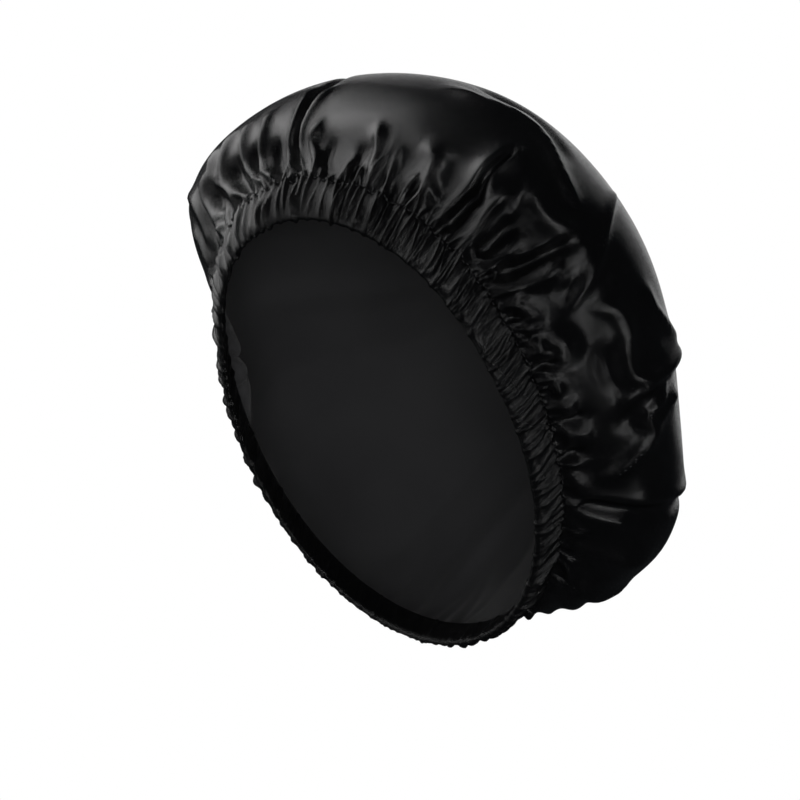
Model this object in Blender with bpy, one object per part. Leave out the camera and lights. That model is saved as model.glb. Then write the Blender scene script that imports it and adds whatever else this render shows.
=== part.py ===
"""Sleep bonnet of black satin, modelled as it is worn.

The bonnet is one round of satin, gathered all round its edge onto an elastic that runs in a
folded casing. It is two solids here: the hollow crown and the elastic casing round its mouth.

Frame: metres, +Z up. The wearer faces -Y and the wearer's left is +X. The origin is the centre of
the mouth. The mouth is an ellipse that lies in one plane, high at the forehead and low at the
nape. A place on the bonnet is given by two numbers:

- around, the angle round the mouth: 0 at the wearer's left, 90 at the forehead, -90 at the nape;
- reach, how far along the cloth from the casing's seam, 0, to the middle of the crown, 1.
"""
import math
from collections import namedtuple

import bmesh
import bpy
from mathutils import Vector

MM = 0.001

# The mouth: where the edge of the casing sits round the head.
MOUTH_TILT = math.radians(57.8)
MOUTH_HALF_WIDTH = 84.0 * MM
MOUTH_HALF_LENGTH = 124.8 * MM

# The casing and the cloth.
CASING_WIDTH = 17.5 * MM
CASING_THICKNESS = 4.4 * MM
CASING_FLARE = 2.0 * MM
CASING_RIB_HEIGHT = 0.8 * MM
INNER_RIB_SHARE = 0.5
SEAM_GAP = 0.3 * MM
CLOTH_WALL = 1.5 * MM

# The gathers. Every gather has four columns of faces at the seam, two higher up, then one.
GATHERS = 66
SEAM_COLUMNS = 4 * GATHERS
SEAM_REACHES = (0.0, 0.028, 0.062, 0.105)
SHOULDER_REACHES = (0.15, 0.2, 0.255, 0.315, 0.385, 0.47)
TOP_REACHES = (0.56, 0.66, 0.77, 0.885)

# The crown's own half sizes ring by ring, before bumps, folds and gathers. Depth is measured from
# the plane of the mouth, and lift moves a ring's middle towards the forehead. All in millimetres.
Ring = namedtuple("Ring", "depth half_width half_length lift")
RINGS = (
    Ring((CASING_WIDTH + SEAM_GAP) / MM, 86, 126, 5),
    Ring(23, 103, 139, 4),
    Ring(36, 119, 151, 4),
    Ring(55, 128, 157, 4),
    Ring(76, 130, 158, 4),
    Ring(100, 123, 150, 4),
    Ring(125, 103, 127, 5),
    Ring(146, 74, 92, 5),
    Ring(161, 38, 48, 6),
    Ring(168, 0, 0, 6),
)
CROWN_MIDDLE_DEPTH = 76.0 * MM
CLOTH_LENGTH = 262.0 * MM

# Folds stand out level with the mouth up to the first reach, and turn to stand away from the
# crown's middle over the second. Bumps and folds grow from nothing over the last two.
LEVEL_REACH = 0.05
TURN_REACH = 0.30
BUMP_GROWTH_REACH = 0.13
FOLD_GROWTH_REACH = 0.06

# Ripples that make the gathers uneven: how many times round the mouth, how much, and from where.
# The first set moves the gathers sideways, in radians, and the second changes their height.
Ripple = namedtuple("Ripple", "times size phase")
GATHER_SHIFTS = (Ripple(3, 0.035, 0.6), Ripple(7, 0.020, 2.1), Ripple(13, 0.010, 4.0))
GATHER_STRENGTHS = (Ripple(5, 0.30, 1.3), Ripple(11, 0.20, 0.4))

# Broad swells and hollows of the soft crown: where, how far out in millimetres, and how wide.
Bump = namedtuple("Bump", "around reach height spread spread_reach")
BUMPS = (
    Bump(-76, 0.28, -25, 25, 0.22),
    Bump(-50, 0.35, 18, 25, 0.22),
    Bump(-20, 0.45, -9, 28, 0.22),
    Bump(0, 0.55, 6, 30, 0.22),
    Bump(30, 0.60, 4, 30, 0.25),
    Bump(60, 0.55, 7, 28, 0.25),
    Bump(118, 0.30, 4, 22, 0.20),
    Bump(142, 0.24, 12, 18, 0.16),
    Bump(150, 0.40, 5, 25, 0.20),
    Bump(168, 0.12, -30, 24, 0.12),
    Bump(-60, 0.60, -11, 30, 0.25),
    Bump(45, 0.80, 4, 40, 0.20),
    Bump(-170, 0.42, 8, 24, 0.20),
    Bump(-125, 0.32, 6, 22, 0.20),
)

# Waves that run up from the seam and die out, as the gathers merge into fewer, wider folds.
Wave = namedtuple("Wave", "count start peak end height")
WAVES = (
    Wave(GATHERS, -0.08, 0.04, 0.20, 3.0),
    Wave(GATHERS // 2, 0.03, 0.15, 0.42, 2.6),
    Wave(GATHERS // 6, 0.12, 0.34, 0.80, 2.2),
)

# The main folds, each from one place on the cloth to another: a ridge stands out by its height,
# and a furrow sinks by it. Half width and height are in millimetres.
Fold = namedtuple("Fold", "around reach to_around to_reach half_width height")
FOLDS = (
    # Forehead, left half: the deep furrow over the brow, and the ridges beside it.
    Fold(101, 0.02, 95, 0.40, 7, -9.0),
    Fold(107, 0.03, 108, 0.30, 6, 4.5),
    Fold(93, 0.05, 88, 0.32, 9, 3.0),
    Fold(116, 0.03, 113, 0.20, 5, 4.0),
    Fold(112, 0.03, 110, 0.19, 4, -3.5),
    Fold(125, 0.02, 121, 0.22, 6, 4.0),
    Fold(134, 0.02, 130, 0.24, 6, -4.5),
    Fold(141, 0.03, 140, 0.30, 8, 5.0),
    # Above the temple: a smooth panel, its lower folds, and the crest that ends it.
    Fold(72, 0.03, 67, 0.17, 6, 4.5),
    Fold(66, 0.03, 60, 0.13, 5, -4.0),
    Fold(51, 0.04, 54, 0.26, 8, 5.5),
    Fold(45, 0.05, 46, 0.22, 7, -5.0),
    Fold(76, 0.34, 48, 0.31, 7, 4.0),
    Fold(48, 0.31, 24, 0.20, 7, 4.5),
    # Over the ear: the long bent ridges and the crease that runs to the back.
    Fold(31, 0.03, 39, 0.19, 8, 6.5),
    Fold(39, 0.19, 25, 0.23, 8, 4.5),
    Fold(24, 0.05, 27, 0.15, 7, -5.0),
    Fold(15, 0.06, 29, 0.44, 7, 4.5),
    Fold(7, 0.04, -4, 0.36, 9, 6.0),
    Fold(-3, 0.04, -12, 0.28, 8, -4.5),
    # Behind the ear: the point at the back and the curved folds below it.
    Fold(-20, 0.04, -31, 0.32, 8, 5.0),
    Fold(-32, 0.04, -44, 0.24, 8, -5.0),
    Fold(-44, 0.03, -55, 0.30, 7, 5.0),
    Fold(-57, 0.03, -66, 0.28, 6, -4.0),
    Fold(-68, 0.03, -76, 0.30, 7, 4.5),
    # The nape and the wearer's right side, in the same manner.
    Fold(-85, 0.03, -82, 0.34, 8, 5.0),
    Fold(-97, 0.03, -93, 0.26, 7, -4.5),
    Fold(-112, 0.03, -119, 0.36, 8, 6.0),
    Fold(-126, 0.03, -122, 0.24, 7, -4.5),
    Fold(-139, 0.03, -146, 0.30, 8, 5.5),
    Fold(-152, 0.04, -148, 0.26, 7, -5.0),
    Fold(-166, 0.03, -160, 0.40, 9, 6.0),
    Fold(-177, 0.03, -184, 0.24, 7, -4.5),
    Fold(169, 0.03, 163, 0.32, 8, 5.5),
    Fold(156, 0.03, 160, 0.22, 6, -4.0),
    # Soft creases near the middle of the crown.
    Fold(60, 0.60, 20, 0.46, 12, 3.0),
    Fold(-10, 0.70, -60, 0.52, 12, 3.0),
    Fold(170, 0.66, 120, 0.56, 12, 3.0),
    Fold(-150, 0.62, -110, 0.72, 12, 2.5),
)

# The casing's cross-section, anticlockwise: along its width from the mouth, and out from the
# middle of its thickness, both as shares of the casing's sizes.
CASING_SECTION = ((0.0, -0.18), (0.5, -0.5), (1.0, -0.3), (1.0, 0.3), (0.5, 0.5), (0.0, 0.18))

SATIN_BLACK = (0.012, 0.012, 0.013, 1.0)
CASING_BLACK = (0.016, 0.016, 0.017, 1.0)
SATIN_ROUGHNESS = 0.34
CASING_ROUGHNESS = 0.42

ACROSS = Vector((1.0, 0.0, 0.0))
FORWARD_UP = Vector((0.0, -math.cos(MOUTH_TILT), math.sin(MOUTH_TILT)))
INWARD = Vector((0.0, math.sin(MOUTH_TILT), math.cos(MOUTH_TILT)))


def clear_scene():
    """Remove every object, so that the part is alone in the file."""
    for thing in list(bpy.data.objects):
        bpy.data.objects.remove(thing, do_unlink=True)


def make_material(name, colour, roughness):
    """Return a cloth material with the given colour and roughness."""
    material = bpy.data.materials.new(name)
    material.use_nodes = True
    shader = material.node_tree.nodes["Principled BSDF"]
    shader.inputs["Base Color"].default_value = colour
    shader.inputs["Roughness"].default_value = roughness
    shader.inputs["Metallic"].default_value = 0.0
    material.diffuse_color = colour
    return material


def smooth_step(value):
    """Return 0 below 0, 1 above 1, and an even curve between."""
    share = min(max(value, 0.0), 1.0)
    return share * share * (3.0 - 2.0 * share)


def turn_between(start, end):
    """Return the shorter turn from one angle to another, in radians."""
    return (end - start + math.pi) % (2.0 * math.pi) - math.pi


def ring_stations():
    """Return each ring's share of the way along the profile, from 0 to 1."""
    distances = [0.0]
    for ring, after in zip(RINGS, RINGS[1:]):
        step = math.dist(ring[:3], after[:3])
        distances.append(distances[-1] + step)
    return [distance / distances[-1] for distance in distances]


STATIONS = ring_stations()


def ring_at(reach):
    """Return the crown's ring at a reach, in metres, on a smooth curve through the rings."""
    last = len(RINGS) - 1
    index = min(max(sum(station <= reach for station in STATIONS) - 1, 0), last - 1)
    span = STATIONS[index + 1] - STATIONS[index]
    share = (reach - STATIONS[index]) / span
    values = []
    for column in range(len(Ring._fields)):
        heights = [ring[column] for ring in RINGS]
        slopes = []
        for knot in (index, index + 1):
            before, after = max(knot - 1, 0), min(knot + 1, last)
            slopes.append((heights[after] - heights[before]) / (STATIONS[after] - STATIONS[before]))
        if column == 0 and index + 1 == last:
            slopes[1] = 0.0
        values.append(
            (2 * share**3 - 3 * share**2 + 1) * heights[index]
            + (share**3 - 2 * share**2 + share) * span * slopes[0]
            + (3 * share**2 - 2 * share**3) * heights[index + 1]
            + (share**3 - share**2) * span * slopes[1]
        )
    return Ring(*(value * MM for value in values))


def ripple_sum(ripples, angle):
    """Return the sum of a set of ripples at an angle."""
    return sum(ripple.size * math.sin(ripple.times * angle + ripple.phase) for ripple in ripples)


def column_angle(column, columns):
    """Return a column's even angle, and where it lies once the gathers vary in width."""
    even = 2.0 * math.pi * column / columns
    return even, even + ripple_sum(GATHER_SHIFTS, even)


def bump_height(around, reach):
    """Return how far the broad swells push the crown out, in millimetres."""
    total = 0.0
    for bump in BUMPS:
        turn = math.degrees(turn_between(math.radians(bump.around), around)) / bump.spread
        rise = (reach - bump.reach) / bump.spread_reach
        total += bump.height * math.exp(-turn * turn - rise * rise)
    return total


def wave_height(even, reach):
    """Return the height of the gathers and of the folds they merge into, in millimetres."""
    strength = 1.0 + ripple_sum(GATHER_STRENGTHS, even)
    total = 0.0
    for wave in WAVES:
        grown = smooth_step((reach - wave.start) / (wave.peak - wave.start))
        left = 1.0 - smooth_step((reach - wave.peak) / (wave.end - wave.peak))
        total += wave.height * strength * grown * left * math.cos(wave.count * even)
    return total


def fold_height(around, reach, radius):
    """Return how far the main folds push the crown out, in millimetres."""
    total = 0.0
    for fold in FOLDS:
        start = math.radians(fold.around)
        sideways = turn_between(start, around) * radius / MM
        upward = (reach - fold.reach) * CLOTH_LENGTH / MM
        run_sideways = turn_between(start, math.radians(fold.to_around)) * radius / MM
        run_upward = (fold.to_reach - fold.reach) * CLOTH_LENGTH / MM
        run = math.hypot(run_sideways, run_upward)
        along = (sideways * run_sideways + upward * run_upward) / run
        aside = (sideways * run_upward - upward * run_sideways) / run
        beyond = max(-along, along - run, 0.0)
        falloff = (aside * aside + beyond * beyond) / (fold.half_width * fold.half_width)
        total += fold.height * math.exp(-falloff)
    return total


def crown_point(column, columns, reach):
    """Return a point of the crown's outer face."""
    even, around = column_angle(column, columns)
    ring = ring_at(reach)
    axis_point = FORWARD_UP * ring.lift + INWARD * ring.depth
    point = axis_point + ACROSS * (ring.half_width * math.cos(around))
    point += FORWARD_UP * (ring.half_length * math.sin(around))
    if reach >= 1.0:
        return point
    middle = FORWARD_UP * ring.lift + INWARD * CROWN_MIDDLE_DEPTH
    turned = smooth_step((reach - LEVEL_REACH) / TURN_REACH)
    outward = (point - axis_point.lerp(middle, turned)).normalized()
    radius = math.sqrt(ring.half_width * ring.half_length)
    height = bump_height(around, reach) * smooth_step(reach / BUMP_GROWTH_REACH)
    height += fold_height(around, reach, radius) * smooth_step(reach / FOLD_GROWTH_REACH)
    return point + outward * ((height + wave_height(even, reach)) * MM)


def crown_rows():
    """Return the reach and number of columns of every row of the crown, from the seam up."""
    rows = [(reach, SEAM_COLUMNS) for reach in SEAM_REACHES]
    rows += [(reach, SEAM_COLUMNS // 2) for reach in SHOULDER_REACHES]
    rows += [(reach, SEAM_COLUMNS // 4) for reach in TOP_REACHES]
    return rows


def join_rows(mesh, lower, upper):
    """Fill the strip between two rows; the upper one has as many columns or half as many."""
    count = len(upper)
    step = len(lower) // count
    for column in range(count):
        after = (column + 1) % count
        if step == 1:
            mesh.faces.new((lower[column], lower[after], upper[after], upper[column]))
            continue
        left, middle = lower[2 * column], lower[2 * column + 1]
        right = lower[(2 * column + 2) % len(lower)]
        mesh.faces.new((left, middle, upper[column]))
        mesh.faces.new((middle, upper[after], upper[column]))
        mesh.faces.new((middle, right, upper[after]))


def add_object(name, mesh, material):
    """Turn a bmesh into a named object with smooth faces."""
    data = bpy.data.meshes.new(name)
    mesh.to_mesh(data)
    mesh.free()
    data.materials.append(material)
    data.shade_smooth()
    thing = bpy.data.objects.new(name, data)
    bpy.context.scene.collection.objects.link(thing)
    return thing


def make_crown(material):
    """Make the hollow crown: its outer face is modelled, and Solidify gives the cloth its wall."""
    mesh = bmesh.new()
    rows = []
    for reach, columns in crown_rows():
        points = (crown_point(column, columns, reach) for column in range(columns))
        rows.append([mesh.verts.new(point) for point in points])
    for lower, upper in zip(rows, rows[1:]):
        join_rows(mesh, lower, upper)
    pole = mesh.verts.new(crown_point(0, 1, 1.0))
    top = rows[-1]
    for column, corner in enumerate(top):
        mesh.faces.new((corner, top[(column + 1) % len(top)], pole))
    bmesh.ops.triangulate(mesh, faces=mesh.faces[:])
    bmesh.ops.recalc_face_normals(mesh, faces=mesh.faces[:])
    crown = add_object("crown", mesh, material)
    wall = crown.modifiers.new("cloth wall", "SOLIDIFY")
    wall.thickness = CLOTH_WALL
    wall.offset = -1.0
    wall.use_even_offset = False
    return crown


def casing_point(column, along, out):
    """Return a point of the casing: along its width, and out from its middle."""
    even, around = column_angle(column, SEAM_COLUMNS)
    seam = RINGS[0]
    share = along * CASING_WIDTH / (seam.depth * MM)
    swell = CASING_FLARE * math.sin(math.pi * along)
    half_width = MOUTH_HALF_WIDTH + (seam.half_width * MM - MOUTH_HALF_WIDTH) * share + swell
    half_length = MOUTH_HALF_LENGTH + (seam.half_length * MM - MOUTH_HALF_LENGTH) * share + swell
    rib = CASING_RIB_HEIGHT * math.cos(GATHERS * even) * (1.0 if out > 0.0 else -INNER_RIB_SHARE)
    offset = out * CASING_THICKNESS - 0.5 * CLOTH_WALL + rib
    point = INWARD * (along * CASING_WIDTH) + FORWARD_UP * (seam.lift * MM * share)
    point += ACROSS * ((half_width + offset) * math.cos(around))
    return point + FORWARD_UP * ((half_length + offset) * math.sin(around))


def make_casing(material):
    """Make the elastic casing: one ribbed section carried all round the mouth."""
    mesh = bmesh.new()
    sections = []
    for column in range(SEAM_COLUMNS):
        points = (casing_point(column, along, out) for along, out in CASING_SECTION)
        sections.append([mesh.verts.new(point) for point in points])
    for column, section in enumerate(sections):
        after = sections[(column + 1) % SEAM_COLUMNS]
        for corner in range(len(section)):
            side = (corner + 1) % len(section)
            mesh.faces.new((section[corner], section[side], after[side], after[corner]))
    bmesh.ops.triangulate(mesh, faces=mesh.faces[:])
    bmesh.ops.recalc_face_normals(mesh, faces=mesh.faces[:])
    return add_object("elastic_casing", mesh, material)


def main():
    """Build the bonnet."""
    clear_scene()
    make_crown(make_material("black satin", SATIN_BLACK, SATIN_ROUGHNESS))
    make_casing(make_material("gathered black satin", CASING_BLACK, CASING_ROUGHNESS))


main()
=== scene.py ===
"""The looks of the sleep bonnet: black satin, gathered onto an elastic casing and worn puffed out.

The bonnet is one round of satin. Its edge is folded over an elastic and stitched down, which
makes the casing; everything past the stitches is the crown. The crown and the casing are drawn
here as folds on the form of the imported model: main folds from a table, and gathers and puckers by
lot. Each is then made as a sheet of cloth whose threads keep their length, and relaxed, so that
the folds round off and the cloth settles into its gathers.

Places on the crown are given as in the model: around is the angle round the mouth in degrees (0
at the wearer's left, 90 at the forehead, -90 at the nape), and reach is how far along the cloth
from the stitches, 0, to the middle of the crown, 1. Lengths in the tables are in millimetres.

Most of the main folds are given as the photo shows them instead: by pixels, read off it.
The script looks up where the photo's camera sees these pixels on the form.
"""
from __future__ import annotations

import logging
import math
from dataclasses import dataclass, field
from enum import Enum
from typing import NamedTuple

import bmesh
import bpy
import numpy as np
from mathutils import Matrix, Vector

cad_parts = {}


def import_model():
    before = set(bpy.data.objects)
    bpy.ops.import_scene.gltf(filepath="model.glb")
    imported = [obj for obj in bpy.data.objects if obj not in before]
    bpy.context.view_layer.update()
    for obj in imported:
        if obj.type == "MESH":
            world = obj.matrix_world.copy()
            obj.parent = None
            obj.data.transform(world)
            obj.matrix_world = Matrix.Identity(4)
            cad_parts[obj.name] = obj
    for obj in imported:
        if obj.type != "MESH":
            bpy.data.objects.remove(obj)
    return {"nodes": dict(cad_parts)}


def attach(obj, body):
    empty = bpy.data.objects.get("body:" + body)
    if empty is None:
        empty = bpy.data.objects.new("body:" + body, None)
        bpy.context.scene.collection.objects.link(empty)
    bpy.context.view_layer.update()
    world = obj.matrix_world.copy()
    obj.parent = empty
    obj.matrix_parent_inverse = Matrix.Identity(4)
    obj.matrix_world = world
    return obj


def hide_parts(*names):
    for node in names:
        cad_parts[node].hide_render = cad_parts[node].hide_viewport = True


log = logging.getLogger("sleep_bonnet")

Array = np.ndarray
MM = 0.001

# The UV map that holds each point's place on the flat cut.
CUT_MAP = "flat_cut"

# How the photo was taken. The camera stands round the wearer's left side, by an angle in degrees.
# Its distance, what it looks at and the width of the picture there are in metres.
PHOTO_AZIMUTH = 32.0
PHOTO_DISTANCE = 1.5
PHOTO_AIM_RIGHT = 0.0114
PHOTO_AIM_UP = 0.022
PHOTO_WIDTH = 0.4
PHOTO_PIXELS = 800


class Ring(NamedTuple):
    """One ring of the crown's form: its depth past the mouth, half sizes and lift."""

    depth: float
    half_width: float
    half_length: float
    lift: float


class Bump(NamedTuple):
    """A broad swell of the crown, or a hollow where its height is below zero."""

    around: float
    reach: float
    height: float
    spread: float
    spread_reach: float


class Seen(NamedTuple):
    """A place that the photo shows, read off it, in pixels from its left and its top."""

    right: float
    down: float


class Place(NamedTuple):
    """A place on the crown: an angle round the mouth, in degrees, and a reach."""

    around: float
    reach: float


class Crease(NamedTuple):
    """A ridge along a smooth line, or a furrow where its height is negative.

    The line runs through its places in their order.
    """

    height: float
    half_width: float
    places: tuple[Seen | Place, ...]


class Band(NamedTuple):
    """A band of rows of the crown's cloth: the reach it ends at, and how finely it is laid out."""

    last_reach: float
    columns: int
    row_height: float


class GatherSize(NamedTuple):
    """How long the longest gathers are at one angle round the mouth, and how high they stand."""

    around: float
    length: float
    height: float


class RimShape(NamedTuple):
    """How the crown leaves its rim at one angle round the mouth.

    The lifts say how far the stitches and the folded edge stand out. Straight is 0 where the
    crown puffs out at once and 1 where it runs straight on from the casing.
    """

    around: float
    stitch_lift: float
    edge_lift: float
    straight: float


class Ridge(NamedTuple):
    """One gather: where it starts, its sizes, and how it leans and winds."""

    start: float
    height: float
    half_width: float
    length: float
    lean: float
    sway: float
    phase: float


class Pucker(NamedTuple):
    """One small puff of cloth beside the stitches, an oval turned by an angle."""

    around: float
    reach: float
    half_across: float
    half_along: float
    height: float
    turn: float


# The crown's rings, from the stitches to its middle.
RINGS = (
    Ring(17.8, 86, 126, 5),
    Ring(23, 103, 139, 4),
    Ring(36, 119, 151, 4),
    Ring(55, 128, 157, 4),
    Ring(76, 130, 158, 4),
    Ring(100, 123, 150, 4),
    Ring(125, 103, 127, 5),
    Ring(146, 74, 92, 5),
    Ring(161, 38, 48, 6),
    Ring(168, 0, 0, 6),
)

# The broad swells and hollows that give the crown the photo's outline.
BUMPS = (
    Bump(-76, 0.28, -25, 25, 0.22),
    Bump(-50, 0.35, 18, 25, 0.22),
    Bump(-20, 0.45, -9, 28, 0.22),
    Bump(0, 0.55, 6, 30, 0.22),
    Bump(30, 0.60, 4, 30, 0.25),
    Bump(60, 0.55, 7, 28, 0.25),
    Bump(118, 0.30, 4, 22, 0.20),
    Bump(142, 0.24, 12, 18, 0.16),
    Bump(150, 0.40, 5, 25, 0.20),
    Bump(168, 0.12, -30, 24, 0.12),
    Bump(-60, 0.60, -11, 30, 0.25),
    Bump(45, 0.80, 4, 40, 0.20),
    Bump(-170, 0.42, 8, 24, 0.20),
    Bump(-125, 0.32, 6, 22, 0.20),
)

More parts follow.
